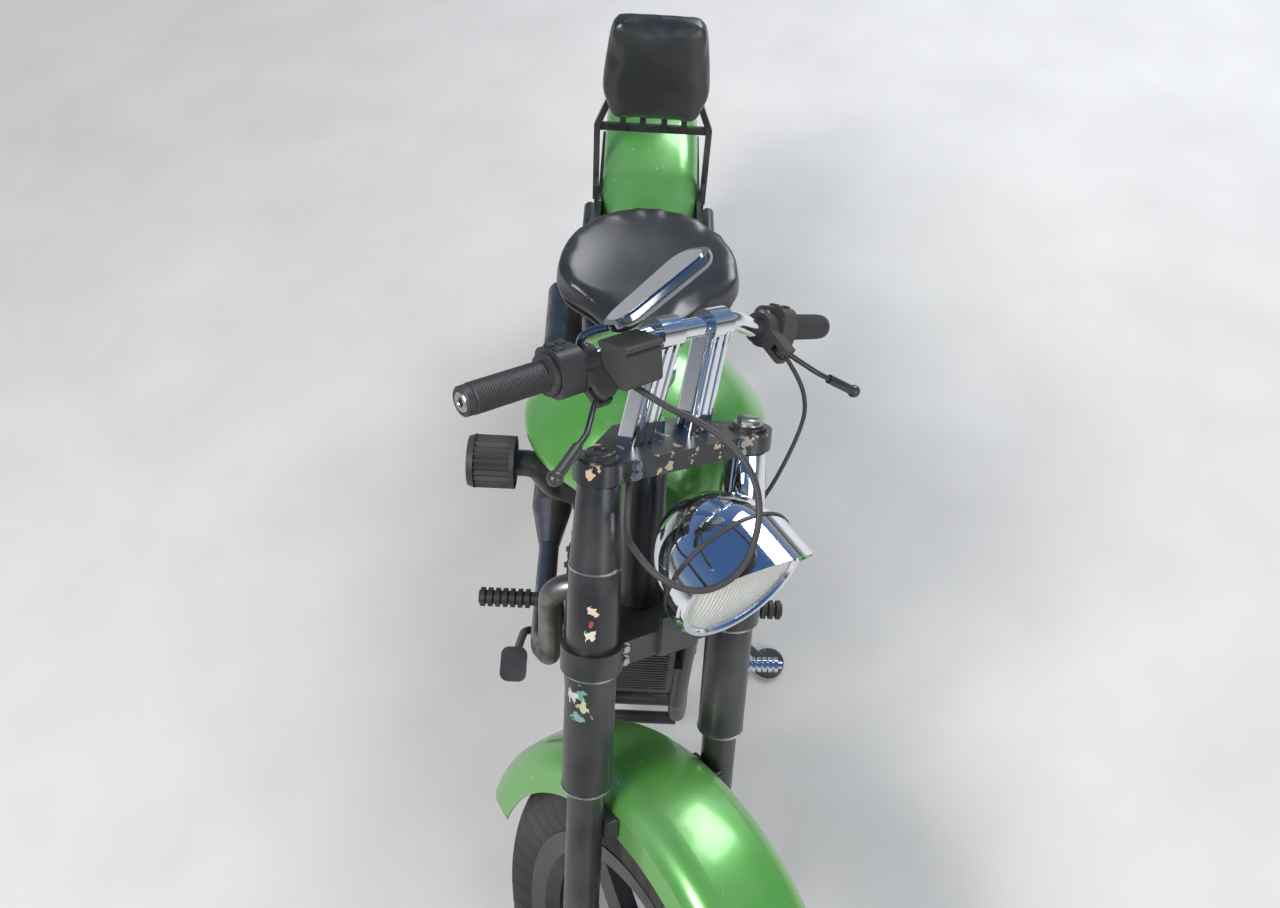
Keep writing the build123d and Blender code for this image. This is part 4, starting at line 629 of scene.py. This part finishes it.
class Shop:
    """Makes pieces with Blender's operators and hands each to the body that carries it."""

    def __init__(self, materials: dict[str, bpy.types.Material]) -> None:
        """Keep the materials.

        Args:
            materials: Finished materials by slot name.
        """
        self.materials = materials
        self.made: list[str] = []

    @staticmethod
    def settle(piece: bpy.types.Object, matrix: Matrix) -> bpy.types.Object:
        """Move a piece and put its place into its mesh.

        Args:
            piece: The piece, made at the origin.
            matrix: Where it goes.

        Returns:
            The same piece, at the origin again.
        """
        pick(piece)
        piece.matrix_world = matrix
        bpy.ops.object.transform_apply(location=True, rotation=True, scale=True)
        return piece

    @staticmethod
    def facing(start: Vector, toward: Vector) -> Matrix:
        """Transform that stands a piece's Z along a direction."""
        return Matrix.Translation(start) @ toward.to_track_quat("Z", "Y").to_matrix().to_4x4()

    def turned(
        self, profile: list[tuple[float, float]], start: Vector, toward: Vector, steps: int = 48
    ) -> bpy.types.Object:
        """Turn a profile round an axis.

        Args:
            profile: Radius and distance along the axis, in millimetres.
            start: Where the axis begins.
            toward: Which way it runs.
            steps: How many sides the turned piece has.

        Returns:
            The piece, in place.
        """
        mesh = bpy.data.meshes.new("profile")
        corners = [(radius / 1000, 0.0, along / 1000) for radius, along in profile]
        mesh.from_pydata(corners, [(i, i + 1) for i in range(len(corners) - 1)], [])
        piece = placed("turned", mesh)
        pick(piece)
        modify(piece, "SCREW", steps=steps, render_steps=steps, use_merge_vertices=True, merge_threshold=0.00001)
        return self.settle(piece, self.facing(start, toward))

    def rod(self, points: list[Vector], radius: float) -> bpy.types.Object:
        """Smooth round rod along control points.

        Args:
            points: Control points of the rod's line.
            radius: Its radius in millimetres.

        Returns:
            The rod as a mesh.
        """
        pick(self.spline("rod", points, radius))
        bpy.ops.object.convert(target="MESH")
        return bpy.context.object

    @staticmethod
    def spline(name: str, points: list[Vector], radius: float) -> bpy.types.Object:
        """Curve object of one smooth open spline.

        Args:
            name: The curve's name.
            points: Its control points.
            radius: The radius of its tube in millimetres.

        Returns:
            The curve object.
        """
        data = bpy.data.curves.new(name, "CURVE")
        data.dimensions = "3D"
        data.bevel_depth = radius / 1000
        data.bevel_resolution = 3
        data.use_fill_caps = True
        line = data.splines.new("NURBS")
        line.points.add(len(points) - 1)
        for knot, place in zip(line.points, points):
            knot.co = (*place, 1.0)
        line.order_u = 3
        line.use_endpoint_u = True
        line.resolution_u = 8
        return placed(name, data)

    def bolt(self, place: Vector, toward: Vector, radius: float, height: float) -> bpy.types.Object:
        """Hexagonal head on a thin washer.

        Args:
            place: The middle of its seat.
            toward: Which way the head points.
            radius: The head's radius over its corners, in millimetres.
            height: The head's height in millimetres.

        Returns:
            The bolt's head with its washer.
        """
        washer = self.turned(
            [(0.0, 0.0), (radius * 1.3, 0.0), (radius * 1.3, height * 0.2), (0.0, height * 0.2)], place, toward, 20
        )
        head = self.turned(
            [(0.0, 0.0), (radius, 0.0), (radius, height * 0.85), (radius * 0.85, height), (0.0, height)],
            place, toward, 6,
        )
        return self.join([washer, head])

    def bolt_ring(
        self, middle: Vector, toward: Vector, axes: tuple[Vector, Vector], count: int, height: float
    ) -> list[bpy.types.Object]:
        """Ring of small bolts.

        Args:
            middle: The ring's middle.
            toward: Which way the heads point.
            axes: From the middle to the first bolt, and a quarter turn on.
            count: How many bolts there are.
            height: The heads' height in millimetres.

        Returns:
            The bolts.
        """
        turns = (2 * math.pi * step / count for step in range(count))
        places = (middle + axes[0] * math.cos(turn) + axes[1] * math.sin(turn) for turn in turns)
        return [self.bolt(place, toward, 6.0, height) for place in places]

    @staticmethod
    def bevel_where(
        piece: bpy.types.Object, width: float, segments: int, wanted: Callable[[Vector, Vector], bool]
    ) -> None:
        """Round the edges of a piece that a test picks.

        Args:
            piece: The piece.
            width: The bevel's width in millimetres.
            segments: How many faces each rounding has.
            wanted: Says by its two ends whether an edge is rounded.
        """
        mesh = piece.data
        bpy.context.tool_settings.mesh_select_mode = (False, True, False)
        for item in (*mesh.vertices, *mesh.polygons):
            item.select = False
        for edge in mesh.edges:
            start, end = (mesh.vertices[index].co for index in edge.vertices)
            edge.select = wanted(start, end)
        bpy.ops.object.mode_set(mode="EDIT")
        bpy.ops.mesh.bevel(offset=width / 1000, segments=segments)
        bpy.ops.object.mode_set(mode="OBJECT")

    @staticmethod
    def slab(size: Point) -> bpy.types.Object:
        """Sharp box at the origin, to be shaped.

        Args:
            size: Its sides in millimetres.

        Returns:
            The box.
        """
        bpy.ops.object.select_all(action="DESELECT")
        bpy.ops.mesh.primitive_cube_add(size=1)
        piece = bpy.context.object
        piece.scale = [side / 1000 for side in size]
        bpy.ops.object.transform_apply(location=False, rotation=False, scale=True)
        return piece

    def plate(self, size: Point, corner: float, edge: float) -> bpy.types.Object:
        """Plate at the origin with round corners and a rounded back.

        Args:
            size: Its sides in millimetres.
            corner: The radius of its corners in millimetres.
            edge: The radius round its back in millimetres.

        Returns:
            The plate, not yet in place.
        """
        piece = self.slab(size)
        self.bevel_where(piece, corner, 9, lambda a, b: abs(a.z - b.z) > 1e-5)
        self.bevel_where(piece, edge, 6, lambda a, b: a.z < 0 and b.z < 0)
        return piece

    @staticmethod
    def join(pieces: list[bpy.types.Object]) -> bpy.types.Object:
        """Join pieces into the first."""
        if len(pieces) > 1:
            pick(*pieces)
            bpy.ops.object.join()
        return pieces[0]

    def block(self, size: Point, matrix: Matrix, bevel: float = 1.0) -> bpy.types.Object:
        """Box with rounded edges.

        Args:
            size: Its sides in millimetres.
            matrix: Where its middle goes.
            bevel: The radius of its edges in millimetres.

        Returns:
            The box, in place.
        """
        piece = self.slab(size)
        modify(piece, "BEVEL", width=bevel / 1000, segments=3)
        return self.settle(piece, matrix)

    def fit(
        self, name: str, pieces: list[bpy.types.Object], body: Body, paint: Paint, replaced: tuple[str, ...] = ()
    ) -> bpy.types.Object:
        """Join pieces, finish them and let them ride on a body.

        Args:
            name: The finished piece's name.
            pieces: What it is made of.
            body: The body that it rides on.
            paint: Its finish.
            replaced: The nodes that it stands for.

        Returns:
            The finished piece.
        """
        piece = self.join(pieces)
        piece.name = name
        pick(piece)
        bpy.ops.object.mode_set(mode="EDIT")
        bpy.ops.mesh.select_all(action="SELECT")
        bpy.ops.mesh.normals_make_consistent(inside=False)
        bpy.ops.object.mode_set(mode="OBJECT")
        bpy.ops.object.shade_smooth_by_angle(angle=math.radians(35))
        piece.data.materials.clear()
        piece.data.materials.append(self.materials[paint.value.name])
        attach(piece, body.value)
        if replaced:
            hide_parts(*replaced)
        self.made.append(name)
        return piece


@dataclass
class Assembly:
    """A group of pieces, with the shop that makes them and the axes that they follow."""

    shop: Shop
    rig: Rig


@dataclass
class Tyres(Assembly):
    """Round tyres with circumferential grooves in place of the plain solids."""

    steps: int = 96
    crown: int = 24
    groove_depth: float = 4.0
    SIZES = {
        "front_tyre": (Body.FRONT_WHEEL, 320.0, 130.0, 120.0), "rear_tyre": (Body.REAR_WHEEL, 322.0, 150.0, 122.0),
    }

    def profile(self, radius: float, width: float, section: float) -> list[tuple[float, float]]:
        """Section from bead to bead, as radius and distance along the axle in millimetres."""
        half = width / 2
        wall = [(0.99, 0.72), (0.8, 0.86), (0.62, 0.97), (0.45, 1.0), (0.38, 0.985)]
        crown = []
        for step in range(self.crown + 1):
            share = 2 * step / self.crown - 1
            fall = 0.33 * abs(share) ** 2.3
            groove = self.groove_depth if step % 6 in (3, 4) and abs(share) < 0.7 else 0.0
            crown.append((radius - fall * section - groove, share * half * 0.97))
        left = [(radius - depth * section, -side * half) for depth, side in wall]
        right = [(reach, -along) for reach, along in reversed(left)]
        return [*left, *crown, *right]

    def build(self) -> None:
        """Turn both tyres on their hubs."""
        for name, (body, *size) in self.SIZES.items():
            tyre = self.shop.turned(self.profile(*size), *self.rig.hubs[body], self.steps)
            piece = self.shop.fit(f"{name}_tread", [tyre], body, Paint.TYRE, (name,))
            piece.data.materials[0] = self.shop.materials[name]


@dataclass
class Handlebar(Assembly):
    """Ribbed grips with open end rings, and the buttons and screws of the housings."""

    ribs: int = 28
    OVERHANG = 9.0
    HOUSING_INSET = 120.0
    END_RING = ((4.6, 16.0), (5.0, 1.6), (6.0, 0.4), (10.8, 0.4), (12.0, 1.6), (12.0, 16.0))

    def grip_profile(self) -> list[tuple[float, float]]:
        """Section of a grip from its end inwards, in millimetres."""
        profile = [(12.2, 9.0), (12.2, 2.0), (13.0, 1.0), (15.5, 1.0), (17.0, 2.5), (17.2, 10.0), (16.2, 11.5)]
        for rib in range(self.ribs):
            base = 13.0 + rib * 3.2
            profile += [(17.0, base), (17.8, base + 0.6), (17.8, base + 2.0), (17.0, base + 2.6)]
        return [*profile, (17.4, 105.0), (24.0, 106.0), (25.0, 108.0), (24.5, 112.0), (13.0, 112.0)]

    def build(self) -> None:
        """Make both grips."""
        grips, rings = [], []
        for sign in (-1, 1):
            tip = self.rig.across_bar(sign, -self.OVERHANG)
            grips.append(self.shop.turned(self.grip_profile(), tip.origin, tip.third, 40))
            rings.append(self.shop.turned(list(self.END_RING), tip.origin, tip.third, 32))
        self.shop.fit("ribbed_grips", grips, Body.STEERING, Paint.GRIP, ("grips",))
        self.shop.fit("bar_end_rings", rings, Body.STEERING, Paint.STEEL)
        self.switches()

    def switches(self) -> None:
        """Rocker buttons on top of each housing, and the clamp screws of the perches."""
        buttons, screws = [], []
        for sign in (-1, 1):
            top = self.rig.across_bar(sign, self.HOUSING_INSET)
            for along, side in ((-7, 8), (8, 8), (-7, -9)):
                place = top.matrix(side, 28.6, along)
                buttons.append(self.shop.block((11, 4.6, 9), place, 1.2))
            perch = self.rig.across_bar(sign, self.rig.PERCH_INSET)
            for along in (-8, 8):
                screws.append(self.shop.bolt(perch.at(0, 20.4, along), perch.second, 3.4, 3.0))
        self.shop.fit("switch_buttons", buttons, Body.STEERING, Paint.GRIP)
        self.shop.fit("perch_screws", screws, Body.STEERING, Paint.STEEL)


@dataclass
class ForkTrim(Assembly):
    """Chrome tube, fasteners and small fittings of the fork."""

    LEG_X: float = 119.0
    LEG_Y: float = -61.06
    CLAMP_TOP: float = 1193.0
    RINGS = ((897.0, 34.2), (722.0, 34.0), (1046.0, 33.9))
    SCRAPES = (
        ((-140.4, -87.5, 1000.0), 6.0, (0.6, 0.52, 0.4)), ((-141.4, -86.7, 984.0), 4.5, (0.3, 0.06, 0.045)),
        ((-141.4, -86.7, 966.5), 6.5, (0.6, 0.56, 0.42)), ((-148.0, -78.0, 880.0), 8.0, (0.12, 0.27, 0.25)),
        ((-152.0, -68.0, 872.0), 8.0, (0.44, 0.46, 0.42)), ((-146.5, -80.5, 862.0), 7.0, (0.42, 0.42, 0.28)),
        ((-149.0, -76.5, 846.0), 7.0, (0.16, 0.3, 0.28)),
    )

    def sleeve(self) -> None:
        """Chrome sleeve over the left leg between the clamps."""
        steer = self.rig.steering
        profile = [(33.0, 939.0), (33.9, 940.0), (33.9, 1048.0), (28.2, 1146.0), (26.6, 1156.0), (25.0, 1157.0)]
        tube = self.shop.turned(profile, steer.at(self.LEG_X, self.LEG_Y, 0), steer.third)
        self.shop.fit("left_upper_tube", [tube], Body.STEERING, Paint.CHROME)

    def joints(self) -> None:
        """Bright joint rings of both legs; the left leg's sleeve takes the place of the last."""
        steer = self.rig.steering
        rings = []
        for sign in (-1, 1):
            foot = steer.at(sign * self.LEG_X, self.LEG_Y, 0)
            for height, reach in self.RINGS if sign < 0 else self.RINGS[:-1]:
                ring = [(reach - 2, height), (reach, height + 0.6), (reach, height + 3.4), (reach - 2, height + 4)]
                rings.append(self.shop.turned(ring, foot, steer.third))
        self.shop.fit("cover_joint_rings", rings, Body.STEERING, Paint.STEEL)

    def fasteners(self) -> None:
        """Caps of the legs, pinch bolts of the clamps and the risers' nuts."""
        steer = self.rig.steering
        up, ahead = steer.third, -steer.second
        bolts = [self.shop.bolt(steer.at(self.LEG_X, self.LEG_Y, self.CLAMP_TOP), up, 15.0, 9.0)]
        for sign in (-1, 1):
            for y, height in ((-87.9, 1168), (-87.9, 1180), (-83.0, 912), (-83.0, 930)):
                bolts.append(self.shop.bolt(steer.at(sign * 84, y, height), ahead, 6.0, 6.0))
            bolts.append(self.shop.bolt(steer.at(sign * 45, -32, 1161), -up, 8.0, 11.0))
        self.shop.fit("fork_fasteners", bolts, Body.STEERING, Paint.STEEL)
        plug = [(0.0, 2.0), (9.0, 2.0), (10.0, 4.0), (16.0, 4.0), (18.0, 2.5), (18.0, 0.0), (0.0, 0.0)]
        cap = self.shop.turned(plug, steer.at(-self.LEG_X, self.LEG_Y, self.CLAMP_TOP), up)
        self.shop.fit("right_leg_plug", [cap], Body.STEERING, Paint.BLACK)

    def build(self) -> None:
        """Make the fork's trim."""
        self.sleeve()
        self.joints()
        self.fasteners()


@dataclass
class LampTrim(Assembly):
    """Bright ring round the lens, and a dark band round the shell that is painted shadow where the lamp's rim lies in
    shade.
    """

    def build(self) -> None:
        """Make the lamp's trim."""
        lamp = self.rig.lamp()
        ring = [(78.6, 33.8), (80.5, 38.0), (86.5, 38.0), (88.5, 35.0), (88.5, 33.0), (79.0, 33.0), (78.6, 33.8)]
        # Dark band round the shell in grip rubber: painted shadow, put where the lamp's rim lies in shade.
        shadow_band = [(91.6, 4.0), (92.6, 5.0), (92.6, 9.0), (91.6, 10.0)]
        for name, profile, paint in (("lamp_ring", ring, Paint.CHROME), ("lamp_seal", shadow_band, Paint.GRIP)):
            self.shop.fit(name, [self.shop.turned(profile, lamp.origin, lamp.third, 72)], Body.STEERING, paint)


@dataclass
class Mirror(Assembly):
    """Drop-shaped mirror with a rounded shell, in place of the plain solids."""

    CENTRE = (-80.0, -96.0, 1396.0)
    LONG = (0.846, 0.0, 0.533)
    FACE = (-0.518, 0.242, 0.821)
    LENGTH: float = 146.0
    WIDTH: float = 78.0
    DEPTH: float = 16.0

    def station(self) -> Station:
        """Station on the middle of the mirror's rim, its third axis out of the glass."""
        steer = self.rig.steering
        long, face = steer.way(*self.LONG).normalized(), steer.way(*self.FACE).normalized()
        return Station(steer.at(*self.CENTRE), long, face.cross(long), face)

    def taper(self, piece: bpy.types.Object) -> None:
        """Narrow a plate toward its low end, where the stem joins it.

        Args:
            piece: The plate, still at the origin.
        """
        for vertex in piece.data.vertices:
            share = vertex.co.x * 1000 / self.LENGTH + 0.5
            vertex.co.y *= 0.6 + 0.4 * min(max(share, 0.0), 1.0) ** 0.7

    def build(self) -> None:
        """Make the shell with its stem, and the glass."""
        station = self.station()
        shell = self.shop.plate((self.LENGTH, self.WIDTH, self.DEPTH), 27.0, 11.0)
        self.taper(shell)
        self.shop.settle(shell, station.matrix(0, 0, -self.DEPTH / 2))
        perch = self.rig.across_bar(-1, self.rig.PERCH_INSET)
        low = station.at(-52, 0, -self.DEPTH + 3)
        rod = self.shop.rod([perch.at(0, 21, 0), perch.at(0, 34, 0), low.lerp(perch.at(0, 38, 0), 0.4), low], 5.0)
        self.shop.fit("mirror_back", [shell, rod], Body.STEERING, Paint.DARK_CHROME, ("mirror_shell",))
        glass = self.shop.plate((self.LENGTH - 14, self.WIDTH - 14, 2.4), 22.0, 0.6)
        self.taper(glass)
        self.shop.settle(glass, station.matrix(0, 0, 0.6))
        self.shop.fit("mirror_pane", [glass], Body.STEERING, Paint.MIRROR, ("mirror_glass",))


@dataclass
class EngineTrim(Assembly):
    """Bolts of the engine's covers and heads, and the tank's filler cap."""

    COVERS = ((645, 308, 88, 121.2, 9), (817, 316, 60, 115.2, 7))
    CRANK = (0, 645, 322)
    HEAD_REACH = 0.366
    BANK = 26.0
    CAP = (0, 655, 950)

    def cover_bolts(self) -> None:
        """Ring of bolts on each round side cover."""
        chassis = self.rig.chassis
        bolts = []
        for sign in (-1, 1):
            for y, z, ring, face, count in self.COVERS:
                middle = chassis.at(sign * face, y, z)
                ring_axes = (chassis.second * ring / 1000, chassis.third * ring / 1000)
                bolts += self.shop.bolt_ring(middle, chassis.first * sign, ring_axes, count, 6.0)
        self.shop.fit("cover_bolts", bolts, Body.CHASSIS, Paint.STEEL)

    def head_bolts(self) -> None:
        """Four domed bolts on each rocker cover."""
        chassis = self.rig.chassis
        bolts = []
        for sign in (-1, 1):
            lean = math.radians(self.BANK * sign)
            along = chassis.way(0, math.sin(lean), math.cos(lean))
            back = chassis.way(0, math.cos(lean), -math.sin(lean))
            middle = chassis.at(*self.CRANK) + along * self.HEAD_REACH
            for x in (-44, 44):
                for y in (-38, 38):
                    place = middle + chassis.first * (x / 1000) + back * (y / 1000)
                    bolts.append(self.shop.bolt(place, along, 7.0, 8.0))
        self.shop.fit("head_bolts", bolts, Body.CHASSIS, Paint.CHROME)

    def filler_cap(self) -> None:
        """Chrome cap on the tank."""
        chassis = self.rig.chassis
        profile = [(0, 14), (30, 12), (38, 8), (39.5, 3), (39.5, -8), (36.2, -10), (36.2, -30)]
        cap = self.shop.turned(profile, chassis.at(*self.CAP), chassis.third)
        self.shop.fit("filler_cap", [cap], Body.CHASSIS, Paint.CHROME)

    def build(self) -> None:
        """Make the engine's trim."""
        self.cover_bolts()
        self.head_bolts()
        self.filler_cap()


@dataclass
class WheelTrim(Assembly):
    """Bolts that hold the discs to the hubs."""

    RING = 0.034
    SIDES = ((Body.FRONT_WHEEL, "front", 1, 65.1), (Body.REAR_WHEEL, "rear", -1, 72.3))

    def build(self) -> None:
        """Make both wheels' trim."""
        for body, name, side, reach in self.SIDES:
            hub, axle = self.rig.hubs[body]
            across = axle.orthogonal().normalized()
            around = axle.cross(across)
            middle = hub + axle * side * reach / 1000
            bolts = self.shop.bolt_ring(middle, axle * side, (across * self.RING, around * self.RING), 5, 5.0)
            self.shop.fit(f"{name}_disc_bolts", bolts, body, Paint.STEEL)


@dataclass
class Cords(Assembly):
    """Brake hose and clutch cable, each from its control to a clamp."""

    OUTLET_INSET = 187.3
    OUTLET = (-42.0, -26.3, 0.0)
    CABLE_START = (160.0, -90.0, 1277.0)
    HOSE = (
        (-85, -136, 1266), (-58, -166, 1253), (-34, -202, 1230), (-24, -232, 1194), (-32, -249, 1150),
        (-60, -258, 1105), (-102, -238, 1079), (-134, -198, 1092), (-138, -160, 1112), (-122, -124, 1112),
        (-98, -92, 1128), (-84, -76, 1158.4),
    )
    CABLE = (
        (186, -84, 1248), (199, -86, 1210), (202, -78, 1178), (192, -68, 1132), (172, -58, 1082),
        (160, -32, 1036), (142, -6, 996), (112, -4, 962), (88, -22, 940.8),
    )

    def lay(self, name: str, node: str, start: Vector, route: tuple, diameter: float, length: float) -> None:
        """Lay one cord along its control points.

        Args:
            name: The cord's name.
            node: The node that it replaces.
            start: Where it leaves its control.
            route: The rest of its control points, in the steering's millimetres.
            diameter: Its diameter in millimetres.
            length: Its real length in metres; not used.
        """
        points = [start, *(self.rig.steering.at(*place) for place in route)]
        piece = self.shop.spline(name, points, diameter / 2)
        piece.data.materials.append(self.shop.materials["grip_rubber"])
        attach(piece, Body.STEERING.value)
        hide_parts(node)
        self.shop.made.append(name)

    def build(self) -> None:
        """Lay both cords."""
        outlet = self.rig.across_bar(-1, self.OUTLET_INSET).at(*self.OUTLET)
        perch = self.rig.bar(*self.CABLE_START)
        self.lay("brake_hose_line", "brake_hose", outlet, self.HOSE, 8.0, 0.54)
        self.lay("clutch_cable_line", "clutch_cable", perch, self.CABLE, 6.0, 0.395)


@dataclass
class Upholstery(Assembly):
    """Saddle and backrest pad swollen by cloth simulation, no point by more than the cap in metres."""

    cap: float = 0.007
    pressure: float = 4.0
    voxel: float = 0.005
    frames: int = 20
    calm: int = 24
    BOWL = (1028.5, 167.5, 752.0, 48.0)
    RIM = 16.0
    DEPTH = 15.0

    def swell(self, node: str, name: str, inset: float, anchor: Vector, up: Vector) -> None:
        """Swell a copy of a solid into a pad.

        Args:
            node: The solid that it stands for.
            name: The pad's name.
            inset: How much smaller it starts, in metres.
            anchor: A point on the plane that the pad rests on.
            up: Which way the pad faces from there.
        """
        piece = placed(name, frame["nodes"][node].data.copy())
        pick(piece)
        modify(piece, "WELD", merge_threshold=0.0001)
        modify(piece, "REMESH", mode="VOXEL", voxel_size=self.voxel)
        modify(piece, "DISPLACE", strength=-inset, mid_level=0.0)
        modify(piece, "SMOOTH", factor=0.5, iterations=8)
        self.simulate(piece, anchor, up)
        modify(piece, "SMOOTH", factor=0.5, iterations=self.calm)
        if node == "saddle":
            self.dish(piece)
        modify(piece, "SUBSURF")
        self.shop.fit(name, [piece], Body.CHASSIS, Paint.HIDE, (node,))

    def dish(self, piece: bpy.types.Object) -> None:
        """Sink the saddle's middle and raise its rim behind, as the seat is worn.

        Args:
            piece: The remeshed saddle.
        """
        chassis = self.rig.chassis
        wide, half, base, thick = self.BOWL
        for vertex in piece.data.vertices:
            away = (vertex.co - chassis.origin) * 1000
            x, y, z = away.dot(chassis.first), away.dot(chassis.second), away.dot(chassis.third)
            reach = min(math.hypot(x, y - wide) / half, 1.0)
            lifted = min(max((z - base - thick * 0.4) / (thick * 0.6), 0.0), 1.0)
            behind = min(max((y - wide + half) / half, 0.0), 1.0)
            change = lifted * (self.RIM * behind * reach ** 4 - self.DEPTH * (1 - reach ** 2))
            vertex.co += chassis.third * change / 1000

    def simulate(self, piece: bpy.types.Object, anchor: Vector, up: Vector) -> None:
        """Blow a pad up a little, with its base held.

        Args:
            piece: The remeshed pad.
            anchor: A point on the plane of its base.
            up: Which way the pad faces from there.
        """
        base = piece.vertex_groups.new(name="base")
        base.add([v.index for v in piece.data.vertices if (v.co - anchor).dot(up) < 0.008], 1.0, "REPLACE")
        bpy.ops.object.modifier_add(type="CLOTH")
        cloth = piece.modifiers[-1]
        cloth.settings.use_pressure = True
        cloth.settings.uniform_pressure_force = self.pressure
        cloth.settings.effector_weights.gravity = 0.0
        cloth.settings.vertex_group_mass = "base"
        cloth.settings.quality = 4
        before = [v.co.copy() for v in piece.data.vertices]
        scene = bpy.context.scene
        for step in range(1, self.frames + 1):
            scene.frame_set(step)
        swollen = piece.evaluated_get(bpy.context.evaluated_depsgraph_get())
        after = [v.co.copy() for v in swollen.data.vertices]
        piece.modifiers.remove(cloth)
        for vertex, old, new in zip(piece.data.vertices, before, after):
            move = new - old
            if move.length > self.cap:
                move *= self.cap / move.length
            vertex.co = old + move
        piece.vertex_groups.clear()
        scene.frame_set(1)

    def build(self) -> None:
        """Swell the saddle and the backrest pad."""
        chassis = self.rig.chassis
        self.swell("saddle", "saddle_cushion", 0.004, chassis.at(0, 1000, 752), chassis.third)
        up = chassis.way(0, -0.996, 0.0896)
        self.swell("backrest_pad", "backrest_cushion", 0.003, chassis.at(0, 1431, 934), up)


OWN_FINISH = {
    "exhaust_pipes": Paint.PIPE.value.name, "levers": Paint.BLACK.value.name, "upper_clamp": Paint.CLAMP.value.name,
    "fork_legs": "marked_leg",
}


def dress_nodes(materials: dict[str, bpy.types.Material]) -> None:
    """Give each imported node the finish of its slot, or its own where it has one.

    Args:
        materials: Finished materials by slot name.
    """
    for part in frame["record"]["subparts"]:
        node = frame["nodes"][part["node"]]
        for slot in node.material_slots:
            slot.material = materials[OWN_FINISH.get(part["node"], part["material_slot"])]


def mix_finishes(rig: Rig) -> dict[str, bpy.types.Material]:
    """Make every finish, and those that follow a place or an axis of the machine.

    Args:
        rig: The machine's axes.

    Returns:
        The materials by name.
    """
    effects = Effects()
    finishes = {paint.value.name: paint.value for paint in Paint}
    finishes["lens_glass"] = replace(Paint.LENS.value, flute=tuple(rig.steering.first), flute_pitch=0.0055)
    scrapes = tuple(
        (tuple(rig.steering.at(*place)), reach / 1000, tint) for place, reach, tint in ForkTrim.SCRAPES
    )
    finishes["marked_leg"] = replace(Paint.BLACK.value, name="marked_leg", spots=scrapes)
    for name, (body, *_) in Tyres.SIZES.items():
        hub, axle = rig.hubs[body]
        across = axle.orthogonal().normalized()
        axes = tuple(tuple(way) for way in (hub, axle, across, axle.cross(across)))
        finishes[name] = replace(Paint.TYRE.value, name=name, axle=axes)
    return {name: finish.build(effects) for name, finish in finishes.items()}


def main() -> None:
    """Build the stage, dress the machine and report each piece."""
    Studio().build()
    rig = Rig()
    materials = mix_finishes(rig)
    dress_nodes(materials)
    shop = Shop(materials)
    for assembly in (Tyres, Handlebar, ForkTrim, LampTrim, Mirror, EngineTrim, WheelTrim, Cords, Upholstery):
        assembly(shop, rig).build()
        log.info("%s: %s", assembly.__name__, ", ".join(shop.made))
        shop.made.clear()


if __name__ == "__main__":
    main()
